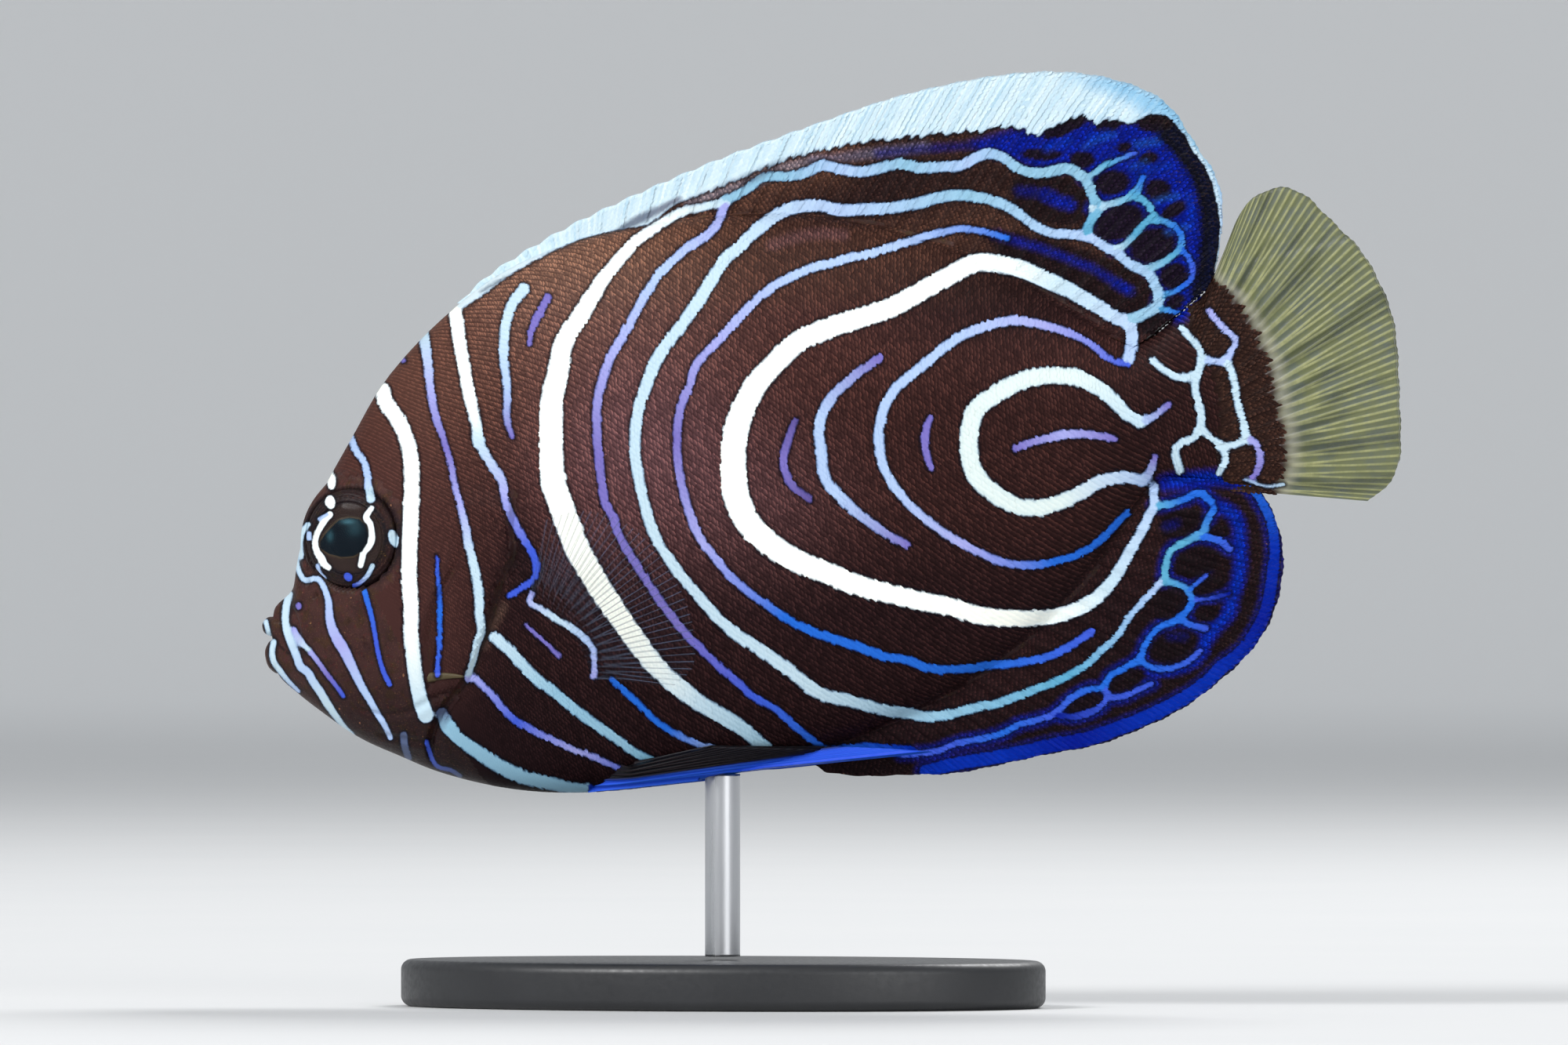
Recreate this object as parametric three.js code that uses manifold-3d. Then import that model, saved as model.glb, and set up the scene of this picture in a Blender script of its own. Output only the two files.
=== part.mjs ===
// A young emperor angelfish, life size, held on a plain display stand.
// Millimetres, +Z up. The fish is drawn level, with its nose towards -X and its left side
// towards -Y, and is then pitched nose down as one group. The origin is the centre of the
// underside of the stand's base.

import * as THREE from 'three';
import { mergeVertices } from 'three/addons/utils/BufferGeometryUtils.js';
import Module from 'manifold-3d';

const wasm = await Module();
wasm.setup();

// Pose and stand
const NOSE_DOWN = THREE.MathUtils.degToRad(12);
const SNOUT_HEIGHT = 32;
const ROD_FROM_SNOUT = 40;
const ROD_RADIUS = 1.5;
const BASE_LENGTH = 56;
const BASE_DEPTH = 36;
const BASE_THICKNESS = 4;
const BASE_BEVEL = 0.8;

// Space that two touching pieces keep between them
const GAP = 0.3;

// Body sections from the snout to the tail root, each one a row of
// [back x, back z, belly x, belly z, half width].
const SECTIONS = [
  [0.35, -0.4, 0.3, -1.5, 0.8],
  [1.2, 1.9, 0.05, -3.85, 1.9],
  [2.8, 3.2, 1.4, -6.0, 2.8],
  [4.3, 6.5, 3.2, -8.0, 3.9],
  [6.9, 10.4, 5.6, -10.4, 5.0],
  [10.8, 14.8, 8.6, -12.6, 5.8],
  [14.8, 19.0, 12.0, -14.9, 6.4],
  [21.1, 23.2, 17.3, -17.4, 6.9],
  [27.3, 25.8, 22.8, -19.0, 7.3],
  [35.5, 27.0, 31.0, -20.1, 7.5],
  [45.1, 26.5, 40.5, -20.4, 7.2],
  [55.0, 24.5, 50.5, -19.4, 6.2],
  [64.5, 20.2, 60.5, -16.8, 5.0],
  [71.0, 15.8, 68.5, -12.8, 4.0],
  [76.0, 11.2, 74.5, -8.2, 3.2],
  [80.0, 8.1, 79.6, -4.1, 2.6],
  [84.0, 8.9, 84.0, -3.7, 2.0],
  [88.0, 11.2, 88.0, -4.8, 1.4],
];
const SECTION_FULLNESS = 0.86;
const BODY_STEPS = 42;
const BODY_SIDES = 30;

// Cuts between the head, the trunk and the tail stalk, drawn from the side
const GILL_SLIT = [[24.4, 3.6], [24.3, 1.8], [22.7, -0.3], [20.8, -3.6], [19.0, -6.2],
  [17.6, -7.8], [14.9, -9.8], [12.8, -12.2]];
const NAPE = [22.6, 32];
const THROAT = [11.2, -20];
const STALK_START = 80;
const STALK_END = 84.6;

// Gill cover: its front edge, its height over the skin and the thickness of its plate
const COVER_FRONT = [[12.0, -10.8], [12.3, -6.8], [13.9, -1.6], [16.6, 1.7], [20.4, 3.9]];
const COVER_RELIEF = 0.35;
const COVER_PLATE = 1.2;
const CHEEK_SPINE_ROOT = [14.3, -7.1];
const CHEEK_SPINE_TIP = [17.9, -7.8];
const CHEEK_SPINE_RADIUS = 0.42;
const CHEEK_RIDGE = [[14.3, -7.1], [14.9, -3.6], [16.4, -0.6], [18.6, 2.0]];
const CHEEK_RIDGE_RADIUS = 0.3;

// Eye: centre from the side, the radius that shows, how far it bulges, how far it looks ahead
// and how far its rim of skin reaches past it
const EYE_CENTRE = [10.2, 5.9];
const EYE_RADIUS = 4.1;
const EYE_SINK = 0.85;
const EYE_HALF_THICKNESS = 1.9;
const EYE_AHEAD = THREE.MathUtils.degToRad(8);
const EYE_RIM_WIDTH = 0.7;
const EYE_RIM_SINK = 0.15;
const NOSTRILS = [[5.2, 3.0], [5.7, 1.8]];
const NOSTRIL_RADIUS = 0.35;
const NOSTRIL_DEPTH = 0.6;

// Lips: [front x, front z, corner x, corner z, corner y, half depth, half height]
const UPPER_LIP = [0.25, 0.45, 2.2, -0.15, 1.75, 0.75, 0.95];
const LOWER_LIP = [-0.05, -2.1, 2.2, -1.75, 1.7, 0.85, 1.1];

// Fins, drawn from the side as [x, z]. An edge runs from the tip of the first ray to that of
// the last, and the rays themselves are the fin's front and rear sides.
const DORSAL_START = 0.47;
const DORSAL_END = 0.878;
const DORSAL_EDGE = [[26.0, 26.3], [29.5, 27.2], [34.1, 28.5], [45.9, 30.9], [55.2, 32.1], [64.5, 33.0],
  [74.1, 32.6], [79.4, 31.7], [83.5, 30.2], [86.3, 28.3], [88.4, 25.4], [89.8, 21.6],
  [90.0, 17.5], [89.3, 14.6], [88.1, 12.2]];
const DORSAL_SPINES = 14;
const DORSAL_RAYS = 34;
const ANAL_START = 0.6;
const ANAL_END = 0.878;
const ANAL_EDGE = [[45.6, -22.0], [48.4, -22.9], [52.7, -23.7], [56.6, -24.4], [64.8, -24.5], [69.5, -24.6],
  [73.1, -24.1], [77.0, -23.2], [80.3, -21.8], [83.5, -20.0], [86.0, -17.8], [87.7, -15.0],
  [88.6, -11.9], [88.6, -8.9], [87.8, -6.5]];
const ANAL_SPINES = 3;
const ANAL_RAYS = 23;
const TAIL_ROOT_TOP = 8.5;
const TAIL_ROOT_BOTTOM = -3.4;
const TAIL_EDGE = [[93.8, 18.2], [96.4, 18.0], [98.6, 15.8], [100.6, 12.1], [101.9, 8.2], [102.2, 4.8],
  [101.6, 1.2], [100.9, -3.7], [99.9, -7.6], [98.6, -9.0], [96.6, -9.3]];
const TAIL_RAYS = 17;
const PECTORAL_ROOT = [[25.5, -2.2], [27.6, -5.2], [28.9, -10.0]];
const PECTORAL_EDGE = [[28.6, 3.6], [32.6, 3.6], [36.4, 1.2], [38.6, -2.8], [39.4, -7.4], [38.6, -11.2],
  [36.4, -12.6]];
const PECTORAL_SWING = 3.4;
const PECTORAL_RAYS = 19;
const PELVIC_ROOT = [[25.2, -19.0], [28.6, -18.0]];
const PELVIC_EDGE = [[55.4, -22.2], [49.5, -20.6], [44.0, -19.4], [37.5, -17.9]];
const PELVIC_RAYS = 6;
const PELVIC_HALF_SPREAD = 2.3;
const PELVIC_TIP_SPREAD = 1.5;

// Rays and spines: how far they stand out of the membrane and past its edge
const RAY_RELIEF = 0.12;
const SPINE_RELIEF = 0.2;
const RAY_OVERHANG = 0.12;
const SPINE_OVERHANG = 0.45;
const FIN_ROWS = 5;

const SKIN_COLOUR = 0x46291f;
const TAIL_COLOUR = 0xa9a870;
const FIN_COLOUR = 0x1b2f7a;
const EYE_COLOUR = 0x101820;
const STEEL_COLOUR = 0xa8adb2;
const BASE_COLOUR = 0x2b2d30;

// Curves along the back and the belly, with one control point for each section
const backLine = new THREE.CatmullRomCurve3(SECTIONS.map(([x, z]) => new THREE.Vector3(x, 0, z)));
const bellyLine = new THREE.CatmullRomCurve3(SECTIONS.map((row) => new THREE.Vector3(row[2], 0, row[3])));
const widthLine = new THREE.CatmullRomCurve3(SECTIONS.map((row, i) => new THREE.Vector3(i, row[4], 0)));

// The section at a share t of the way from snout to tail root
function sectionAt(t) {
  const back = backLine.getPoint(t);
  const belly = bellyLine.getPoint(t);
  const middle = back.clone().add(belly).multiplyScalar(0.5);
  const up = back.clone().sub(belly);
  const halfHeight = up.length() / 2;
  up.normalize();
  return { middle, up, halfHeight, halfWidth: widthLine.getPoint(t).y };
}

// A point of the body's surface, moved out by grow. Angle 0 is the back and half a turn the belly.
function bodyPoint(t, angle, grow) {
  const { middle, up, halfHeight, halfWidth } = sectionAt(t);
  const sine = Math.sin(angle);
  const side = Math.sign(sine) * Math.abs(sine) ** SECTION_FULLNESS;
  const point = middle.addScaledVector(up, (halfHeight + grow) * Math.cos(angle));
  point.y = (halfWidth + grow) * side;
  return point;
}

// Half the body's width at a place seen from the side, or zero outside its outline
function halfWidthAt(x, z) {
  let low = 0;
  let high = 1;
  for (let i = 0; i < 30; i += 1) {
    const t = (low + high) / 2;
    const { middle, up } = sectionAt(t);
    const ahead = (x - middle.x) * up.z - (z - middle.z) * up.x;
    if (ahead > 0) low = t;
    else high = t;
  }
  const { middle, up, halfHeight, halfWidth } = sectionAt((low + high) / 2);
  const level = ((x - middle.x) * up.x + (z - middle.z) * up.z) / halfHeight;
  if (Math.abs(level) >= 1) return 0;
  return halfWidth * Math.sin(Math.acos(level)) ** SECTION_FULLNESS;
}

function geometryFrom(points, triangles) {
  const geometry = new THREE.BufferGeometry();
  geometry.setAttribute('position', new THREE.Float32BufferAttribute(points.flatMap((p) => [p.x, p.y, p.z]), 3));
  geometry.setIndex(triangles);
  return geometry;
}

// A closed skin over rings of points, with a fan over each end
function closedLoft(rings) {
  const sides = rings[0].length;
  const points = rings.flat();
  const triangles = [];
  for (let r = 0; r + 1 < rings.length; r += 1) {
    for (let s = 0; s < sides; s += 1) {
      const a = r * sides + s;
      const b = r * sides + (s + 1) % sides;
      triangles.push(a, b, b + sides, a, b + sides, a + sides);
    }
  }
  const ends = [rings[0], rings[rings.length - 1]].map((ring) => {
    const sum = ring.reduce((total, p) => total.add(p), new THREE.Vector3());
    return sum.divideScalar(sides);
  });
  points.push(...ends);
  const first = points.length - 2;
  const lastRing = (rings.length - 1) * sides;
  for (let s = 0; s < sides; s += 1) {
    const next = (s + 1) % sides;
    triangles.push(first, next, s);
    triangles.push(first + 1, lastRing + s, lastRing + next);
  }
  return geometryFrom(points, triangles);
}

// A closed geometry as a solid, whichever way its faces were wound
function solid(geometry) {
  const bare = geometry.clone();
  bare.deleteAttribute('normal');
  bare.deleteAttribute('uv');
  const merged = mergeVertices(bare, 1e-4);
  const position = merged.getAttribute('position');
  const index = Array.from(merged.index.array);
  const corner = (i) => new THREE.Vector3().fromBufferAttribute(position, i);
  let volume = 0;
  for (let i = 0; i < index.length; i += 3) {
    volume += corner(index[i]).dot(corner(index[i + 1]).cross(corner(index[i + 2])));
  }
  if (volume < 0) index.reverse();
  return new wasm.Manifold(new wasm.Mesh({
    numProp: 3,
    vertProperties: new Float32Array(position.array),
    triVerts: new Uint32Array(index),
  }));
}

// The largest closed body of a solid
function largest(shape) {
  const bodies = shape.decompose();
  return bodies.reduce((best, body) => (body.volume() > best.volume() ? body : best));
}

function bodySolid(grow) {
  const rings = [];
  for (let i = 0; i <= BODY_STEPS; i += 1) {
    const t = i / BODY_STEPS;
    const ring = [];
    for (let s = 0; s < BODY_SIDES; s += 1) {
      ring.push(bodyPoint(t, (2 * Math.PI * s) / BODY_SIDES, grow));
    }
    rings.push(ring);
  }
  return solid(closedLoft(rings));
}

// A side view outline carried through from one y to another
function prism(outline, yFrom, yTo) {
  const shape = new THREE.Shape(outline.map(([x, z]) => new THREE.Vector2(x, z)));
  const geometry = new THREE.ExtrudeGeometry(shape, { depth: yTo - yFrom, bevelEnabled: false });
  geometry.rotateX(Math.PI / 2);
  geometry.translate(0, yTo, 0);
  return solid(geometry);
}

// A tube along a curve, deep and high as the functions say, closed at both ends
function taperedTube(curve, steps, sides, halfDepth, halfHeight) {
  const rings = [];
  for (let i = 0; i <= steps; i += 1) {
    const s = i / steps;
    const centre = curve.getPointAt(s);
    const along = curve.getTangentAt(s);
    const out = new THREE.Vector3(-along.y, along.x, 0).normalize();
    const up = along.clone().cross(out).normalize();
    const ring = [];
    for (let k = 0; k < sides; k += 1) {
      const angle = (2 * Math.PI * k) / sides;
      const point = centre.clone().addScaledVector(out, halfDepth(s) * Math.cos(angle));
      ring.push(point.addScaledVector(up, halfHeight(s) * Math.sin(angle)));
    }
    rings.push(ring);
  }
  return solid(closedLoft(rings));
}

function sideCurve(points) {
  return new THREE.CatmullRomCurve3(points.map(([x, z]) => new THREE.Vector3(x, 0, z)));
}

// A fin: a sheet from its root to its edge, raised on each ray, with the spines first. The
// function sideways(point, s) gives how far to the side its middle lies, s of the way out.
function finSolid(fin) {
  const { root, edge, rays, spines = 0, rootHalf, edgeHalf, sideways = () => 0, rows = FIN_ROWS } = fin;
  const columns = 2 * (rays - 1);
  const middle = (c, r) => {
    const f = c / columns;
    const s = r / rows;
    const from = root.getPointAt(f);
    const outward = edge.getPointAt(f).sub(from);
    const overhang = c < 2 * spines ? SPINE_OVERHANG : RAY_OVERHANG;
    const short = c % 2 === 1 ? overhang / outward.length() : 0;
    const point = from.addScaledVector(outward, s * (1 - Math.min(0.2, short)));
    point.y = sideways(point, s);
    return point;
  };
  const faces = [[], []];
  for (let c = 0; c <= columns; c += 1) {
    for (let r = 0; r <= rows; r += 1) {
      const across = middle(Math.min(c + 1, columns), r).sub(middle(Math.max(c - 1, 0), r));
      const outward = middle(c, Math.min(r + 1, rows)).sub(middle(c, Math.max(r - 1, 0)));
      const normal = across.cross(outward).normalize();
      const relief = c < 2 * spines ? SPINE_RELIEF : RAY_RELIEF;
      const crest = c % 2 === 0 ? relief * (1 - 0.7 * (r / rows)) : 0;
      const half = THREE.MathUtils.lerp(rootHalf, edgeHalf, (r / rows) ** 0.8) + crest;
      faces[0].push(middle(c, r).addScaledVector(normal, half));
      faces[1].push(middle(c, r).addScaledVector(normal, -half));
    }
  }
  const stride = rows + 1;
  const count = faces[0].length;
  const triangles = [];
  for (let c = 0; c < columns; c += 1) {
    for (let r = 0; r < rows; r += 1) {
      const a = c * stride + r;
      const b = a + stride;
      triangles.push(a, b, b + 1, a, b + 1, a + 1);
      triangles.push(a + count, b + 1 + count, b + count, a + count, a + 1 + count, b + 1 + count);
    }
  }
  const rim = [];
  for (let c = 0; c < columns; c += 1) rim.push(c * stride);
  for (let r = 0; r < rows; r += 1) rim.push(columns * stride + r);
  for (let c = columns; c > 0; c -= 1) rim.push(c * stride + rows);
  for (let r = rows; r > 0; r -= 1) rim.push(r);
  rim.forEach((a, i) => {
    const b = rim[(i + 1) % rim.length];
    triangles.push(a, a + count, b + count, a, b + count, b);
  });
  return solid(geometryFrom([...faces[0], ...faces[1]], triangles));
}

// The body and what is cut from it
const FAR = 60;
const body = bodySolid(0);
const bodyWithGap = bodySolid(GAP);
const slitFront = [NAPE, ...GILL_SLIT, THROAT];
const slitBehind = slitFront.map(([x, z]) => [x + 1.3 * GAP, z]);
const headRegion = prism([...slitFront, [-FAR, -FAR], [-FAR, FAR]], -FAR, FAR);
const trunkRegion = prism([...slitBehind, [STALK_START, -FAR], [STALK_START, FAR]], -FAR, FAR);
const stalkRegion = prism([[STALK_START + GAP, -FAR], [STALK_END, -FAR], [STALK_END, FAR],
  [STALK_START + GAP, FAR]], -FAR, FAR);

// Gill covers
const coverOutline = [...GILL_SLIT, ...COVER_FRONT];

function grownOutline(outline, amount) {
  const middle = outline.reduce(([a, b], [x, z]) => [a + x / outline.length, b + z / outline.length], [0, 0]);
  return outline.map(([x, z]) => {
    const away = new THREE.Vector2(x - middle[0], z - middle[1]).normalize().multiplyScalar(amount);
    return [x + away.x, z + away.y];
  });
}

const coverPocket = prism(grownOutline(coverOutline, 1.5 * GAP), -FAR, FAR)
  .subtract(bodySolid(-COVER_PLATE - GAP));
const coverShell = bodySolid(COVER_RELIEF).subtract(bodySolid(-COVER_PLATE));

function gillCover(side) {
  const [yFrom, yTo] = side < 0 ? [-FAR, 0] : [0, FAR];
  const plate = coverShell.intersect(prism(coverOutline, yFrom, yTo));
  const spineEnd = ([x, z], lift) => {
    return new THREE.Vector3(x, side * (halfWidthAt(x, z) + COVER_RELIEF + lift), z);
  };
  const spinePath = new THREE.LineCurve3(spineEnd(CHEEK_SPINE_ROOT, -0.2), spineEnd(CHEEK_SPINE_TIP, 0.15));
  const spineRadius = (s) => CHEEK_SPINE_RADIUS * (1 - 0.8 * s);
  const spine = taperedTube(spinePath, 4, 8, spineRadius, spineRadius);
  const ridgePath = new THREE.CatmullRomCurve3(CHEEK_RIDGE.map((place) => spineEnd(place, -0.1)));
  const ridgeRadius = (s) => CHEEK_RIDGE_RADIUS * (1 - 0.6 * s);
  const ridge = taperedTube(ridgePath, 10, 8, ridgeRadius, ridgeRadius);
  return largest(plate.add(spine).add(ridge));
}

// Eyes, their sockets and the rims around them
function eyeBulge(side, wider, thicker) {
  const [x, z] = EYE_CENTRE;
  const radius = EYE_RADIUS / Math.sqrt(1 - (EYE_SINK / EYE_HALF_THICKNESS) ** 2) + wider;
  const geometry = new THREE.SphereGeometry(1, 26, 14);
  geometry.scale(radius, EYE_HALF_THICKNESS + thicker, radius);
  geometry.rotateZ(side * EYE_AHEAD);
  geometry.translate(x, side * (halfWidthAt(x, z) - EYE_SINK), z);
  return solid(geometry);
}

function eyeSolid(side, grow) {
  return eyeBulge(side, grow, grow);
}

function nostrilPit(side, [x, z]) {
  const geometry = new THREE.CylinderGeometry(NOSTRIL_RADIUS, NOSTRIL_RADIUS, 2 * NOSTRIL_DEPTH, 10);
  geometry.translate(x, side * halfWidthAt(x, z), z);
  return solid(geometry);
}

function lipSolid([frontX, frontZ, cornerX, cornerZ, cornerY, halfDepth, halfHeight], grow) {
  const middleX = THREE.MathUtils.lerp(frontX, cornerX, 0.35);
  const middleZ = THREE.MathUtils.lerp(frontZ, cornerZ, 0.35);
  const path = new THREE.CatmullRomCurve3([
    new THREE.Vector3(cornerX, -cornerY, cornerZ),
    new THREE.Vector3(middleX, -0.72 * cornerY, middleZ),
    new THREE.Vector3(frontX, 0, frontZ),
    new THREE.Vector3(middleX, 0.72 * cornerY, middleZ),
    new THREE.Vector3(cornerX, cornerY, cornerZ),
  ]);
  const taper = (s) => 0.35 + 0.65 * Math.sin(Math.PI * (0.08 + 0.84 * s)) ** 0.7;
  return taperedTube(path, 16, 10, (s) => halfDepth * taper(s) + grow, (s) => halfHeight * taper(s) + grow);
}

const sides = [['left', -1], ['right', 1]];
let head = body.intersect(headRegion).subtract(coverPocket);
for (const [, side] of sides) head = head.add(eyeBulge(side, EYE_RIM_WIDTH, -EYE_RIM_SINK));
head = head.subtract(lipSolid(UPPER_LIP, GAP)).subtract(lipSolid(LOWER_LIP, GAP));
for (const [, side] of sides) {
  head = head.subtract(eyeSolid(side, GAP));
  for (const place of NOSTRILS) head = head.subtract(nostrilPit(side, place));
}

// Fins on the middle line
function medianRoot(line, from, to) {
  const points = [];
  for (let i = 0; i <= 10; i += 1) {
    const t = THREE.MathUtils.lerp(from, to, i / 10);
    points.push(line.getPoint(t).lerp(sectionAt(t).middle, 0.08));
  }
  return new THREE.CatmullRomCurve3(points);
}

const dorsal = finSolid({
  root: medianRoot(backLine, DORSAL_START, DORSAL_END),
  edge: sideCurve(DORSAL_EDGE),
  rays: DORSAL_RAYS,
  spines: DORSAL_SPINES,
  rootHalf: 0.9,
  edgeHalf: 0.27,
});
const anal = finSolid({
  root: medianRoot(bellyLine, ANAL_START, ANAL_END),
  edge: sideCurve(ANAL_EDGE),
  rays: ANAL_RAYS,
  spines: ANAL_SPINES,
  rootHalf: 0.9,
  edgeHalf: 0.27,
});
const tail = finSolid({
  root: new THREE.LineCurve3(
    new THREE.Vector3(STALK_END + GAP, 0, TAIL_ROOT_TOP),
    new THREE.Vector3(STALK_END + GAP, 0, TAIL_ROOT_BOTTOM),
  ),
  edge: sideCurve(TAIL_EDGE),
  rays: TAIL_RAYS,
  rootHalf: 1.1,
  edgeHalf: 0.26,
});

// Paired fins
function pectoral(side) {
  return finSolid({
    root: sideCurve(PECTORAL_ROOT),
    edge: sideCurve(PECTORAL_EDGE),
    rays: PECTORAL_RAYS,
    rootHalf: 0.6,
    edgeHalf: 0.26,
    sideways: (point, s) => {
      const swing = -0.9 + PECTORAL_SWING * s ** 0.8 + 1.2 * Math.min(1, 6 * s);
      return side * (halfWidthAt(point.x, point.z) + swing);
    },
  });
}

function pelvic(side) {
  return finSolid({
    root: sideCurve(PELVIC_ROOT),
    edge: sideCurve(PELVIC_EDGE),
    rays: PELVIC_RAYS,
    spines: 1,
    rootHalf: 0.45,
    edgeHalf: 0.27,
    rows: 12,
    sideways: (point, s) => {
      const resting = THREE.MathUtils.lerp(PELVIC_HALF_SPREAD, PELVIC_TIP_SPREAD, Math.max(0, 2 * s - 1));
      const along = Math.max(resting, halfWidthAt(point.x, point.z) + 0.75);
      const sunk = Math.max(0, halfWidthAt(point.x, point.z) - 0.8);
      return side * THREE.MathUtils.lerp(sunk, along, Math.min(1, 6 * s));
    },
  });
}

// The stand, built where it stands
const fish = new THREE.Group();
fish.rotation.y = -NOSE_DOWN;
fish.position.set(-ROD_FROM_SNOUT, 0, SNOUT_HEIGHT);
fish.updateMatrixWorld();

function rodSolid(grow) {
  const bottom = BASE_THICKNESS + GAP;
  const height = SNOUT_HEIGHT;
  const geometry = new THREE.CylinderGeometry(ROD_RADIUS + grow, ROD_RADIUS + grow, height, 20);
  geometry.rotateX(Math.PI / 2);
  geometry.translate(0, 0, bottom + height / 2);
  return geometry;
}

function geometryOf(shape) {
  const mesh = shape.getMesh();
  const geometry = new THREE.BufferGeometry();
  geometry.setAttribute('position', new THREE.BufferAttribute(new Float32Array(mesh.vertProperties), 3));
  geometry.setIndex(new THREE.BufferAttribute(new Uint32Array(mesh.triVerts), 1));
  geometry.computeVertexNormals();
  return geometry;
}

const bodyInPlace = geometryOf(bodyWithGap).applyMatrix4(fish.matrixWorld);
const rod = solid(rodSolid(0)).subtract(solid(bodyInPlace));
const rodHole = solid(rodSolid(GAP).applyMatrix4(fish.matrixWorld.clone().invert()));

const baseShape = new THREE.Shape();
baseShape.absellipse(0, 0, BASE_LENGTH / 2, BASE_DEPTH / 2, 0, 2 * Math.PI);
const base = new THREE.ExtrudeGeometry(baseShape, {
  depth: BASE_THICKNESS - 2 * BASE_BEVEL,
  bevelThickness: BASE_BEVEL,
  bevelSize: BASE_BEVEL,
  bevelOffset: -BASE_BEVEL,
  bevelSegments: 1,
  curveSegments: 26,
});
base.translate(0, 0, BASE_BEVEL);

function mesh(name, shape, colour, roughness, metalness = 0) {
  const material = new THREE.MeshStandardMaterial({ color: colour, roughness, metalness });
  const part = new THREE.Mesh(geometryOf(shape), material);
  part.name = name;
  return part;
}

fish.add(mesh('head', largest(head), SKIN_COLOUR, 0.5));
fish.add(mesh('upper_lip', lipSolid(UPPER_LIP, 0), SKIN_COLOUR, 0.5));
fish.add(mesh('lower_lip', lipSolid(LOWER_LIP, 0), SKIN_COLOUR, 0.5));
fish.add(mesh('trunk', largest(body.intersect(trunkRegion)), SKIN_COLOUR, 0.5));
fish.add(mesh('tail_stalk', largest(body.intersect(stalkRegion)), SKIN_COLOUR, 0.5));
fish.add(mesh('dorsal_fin', largest(dorsal.subtract(bodyWithGap)), FIN_COLOUR, 0.5));
fish.add(mesh('anal_fin', largest(anal.subtract(bodyWithGap)), FIN_COLOUR, 0.5));
fish.add(mesh('tail_fin', tail, TAIL_COLOUR, 0.5));
for (const [word, side] of sides) {
  fish.add(mesh(`eye_${word}`, eyeSolid(side, 0), EYE_COLOUR, 0.1));
  fish.add(mesh(`gill_cover_${word}`, gillCover(side), SKIN_COLOUR, 0.5));
  fish.add(mesh(`pectoral_fin_${word}`, largest(pectoral(side).subtract(bodyWithGap)), TAIL_COLOUR, 0.5));
  const folded = largest(pelvic(side).subtract(bodyWithGap).subtract(rodHole));
  fish.add(mesh(`pelvic_fin_${word}`, folded, FIN_COLOUR, 0.5));
}

const model = new THREE.Group();
model.add(fish);
model.add(mesh('stand_rod', largest(rod), STEEL_COLOUR, 0.35, 1));
model.add(mesh('stand_base', solid(base), BASE_COLOUR, 0.45));

export default model;
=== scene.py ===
"""A young emperor angelfish, life size, on a plain display stand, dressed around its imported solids."""

import math

import bpy
import numpy as np
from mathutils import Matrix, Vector


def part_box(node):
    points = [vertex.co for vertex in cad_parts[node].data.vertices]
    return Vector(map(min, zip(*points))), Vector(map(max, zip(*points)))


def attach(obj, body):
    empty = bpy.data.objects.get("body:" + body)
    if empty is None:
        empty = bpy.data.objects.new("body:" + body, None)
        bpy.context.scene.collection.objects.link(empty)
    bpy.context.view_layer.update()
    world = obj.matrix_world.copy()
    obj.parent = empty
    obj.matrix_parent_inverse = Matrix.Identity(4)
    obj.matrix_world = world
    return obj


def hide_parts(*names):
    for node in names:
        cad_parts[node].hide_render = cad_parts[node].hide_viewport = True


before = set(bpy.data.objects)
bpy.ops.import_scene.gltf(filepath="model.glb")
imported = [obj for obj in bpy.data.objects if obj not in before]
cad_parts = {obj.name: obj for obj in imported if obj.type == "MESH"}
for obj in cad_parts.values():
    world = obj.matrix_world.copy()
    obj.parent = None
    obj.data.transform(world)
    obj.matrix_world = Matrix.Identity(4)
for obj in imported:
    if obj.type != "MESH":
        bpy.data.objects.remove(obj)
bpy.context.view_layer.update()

# Lengths are millimetres in the fish's own level frame, nose towards -X and left side towards -Y,
# until placed() turns them into the row frame in metres.
MM = 0.001
NOSE_DOWN = math.radians(12)
SNOUT_HEIGHT = 32.0
ROD_FROM_SNOUT = 40.0
ROD_RADIUS = 1.5
BASE_LENGTH = 56.0
BASE_DEPTH = 36.0
BASE_THICKNESS = 4.0

# The camera stands where the photographer did: the photo's pixels are read in its plane
PHOTO_WIDTH = 2000
PHOTO_HEIGHT = 1333
PIXELS_PER_MM = 15.0
CAMERA_AZIMUTH = math.radians(15)
CAMERA_DISTANCE = 1800.0
CAMERA_TARGET = np.array([5.41, 0.0, 41.23])
SENSOR_WIDTH = 36.0
LIGHT_AIM = np.array([0.006, 0.0, 0.042])

# Body sections from the snout to the tail root: back x, back z, belly x, belly z, half width
SECTIONS = np.array([
    [0.1, -0.1, 0.15, -1.4, 0.9],
    [0.8, 1.85, -0.1, -3.85, 1.95],
    [2.8, 3.2, 1.4, -6.0, 2.8],
    [4.3, 6.5, 3.2, -8.0, 3.9],
    [6.9, 10.4, 5.6, -10.4, 5.0],
    [10.8, 14.8, 8.6, -12.6, 5.8],
    [14.8, 19.0, 12.0, -14.9, 6.4],
    [21.1, 23.2, 17.3, -17.4, 6.9],
    [27.3, 25.8, 22.8, -19.0, 7.3],
    [35.5, 27.0, 31.0, -20.1, 7.5],
    [45.1, 26.5, 40.5, -20.4, 7.2],
    [55.0, 24.5, 50.5, -19.4, 6.2],
    [64.5, 20.2, 60.5, -16.8, 5.0],
    [71.0, 15.8, 68.5, -12.8, 4.0],
    [76.0, 11.2, 74.5, -8.2, 3.2],
    [80.0, 8.1, 79.6, -4.1, 2.6],
    [84.0, 9.7, 84.0, -5.0, 1.9],
    [87.6, 11.6, 87.8, -6.0, 1.0],
    [90.2, 12.6, 90.2, -6.5, 0.45],
])
SECTION_FULLNESS = 0.86
SOLID_SECTIONS = 18
COAT_DEPTH = 0.06

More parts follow.
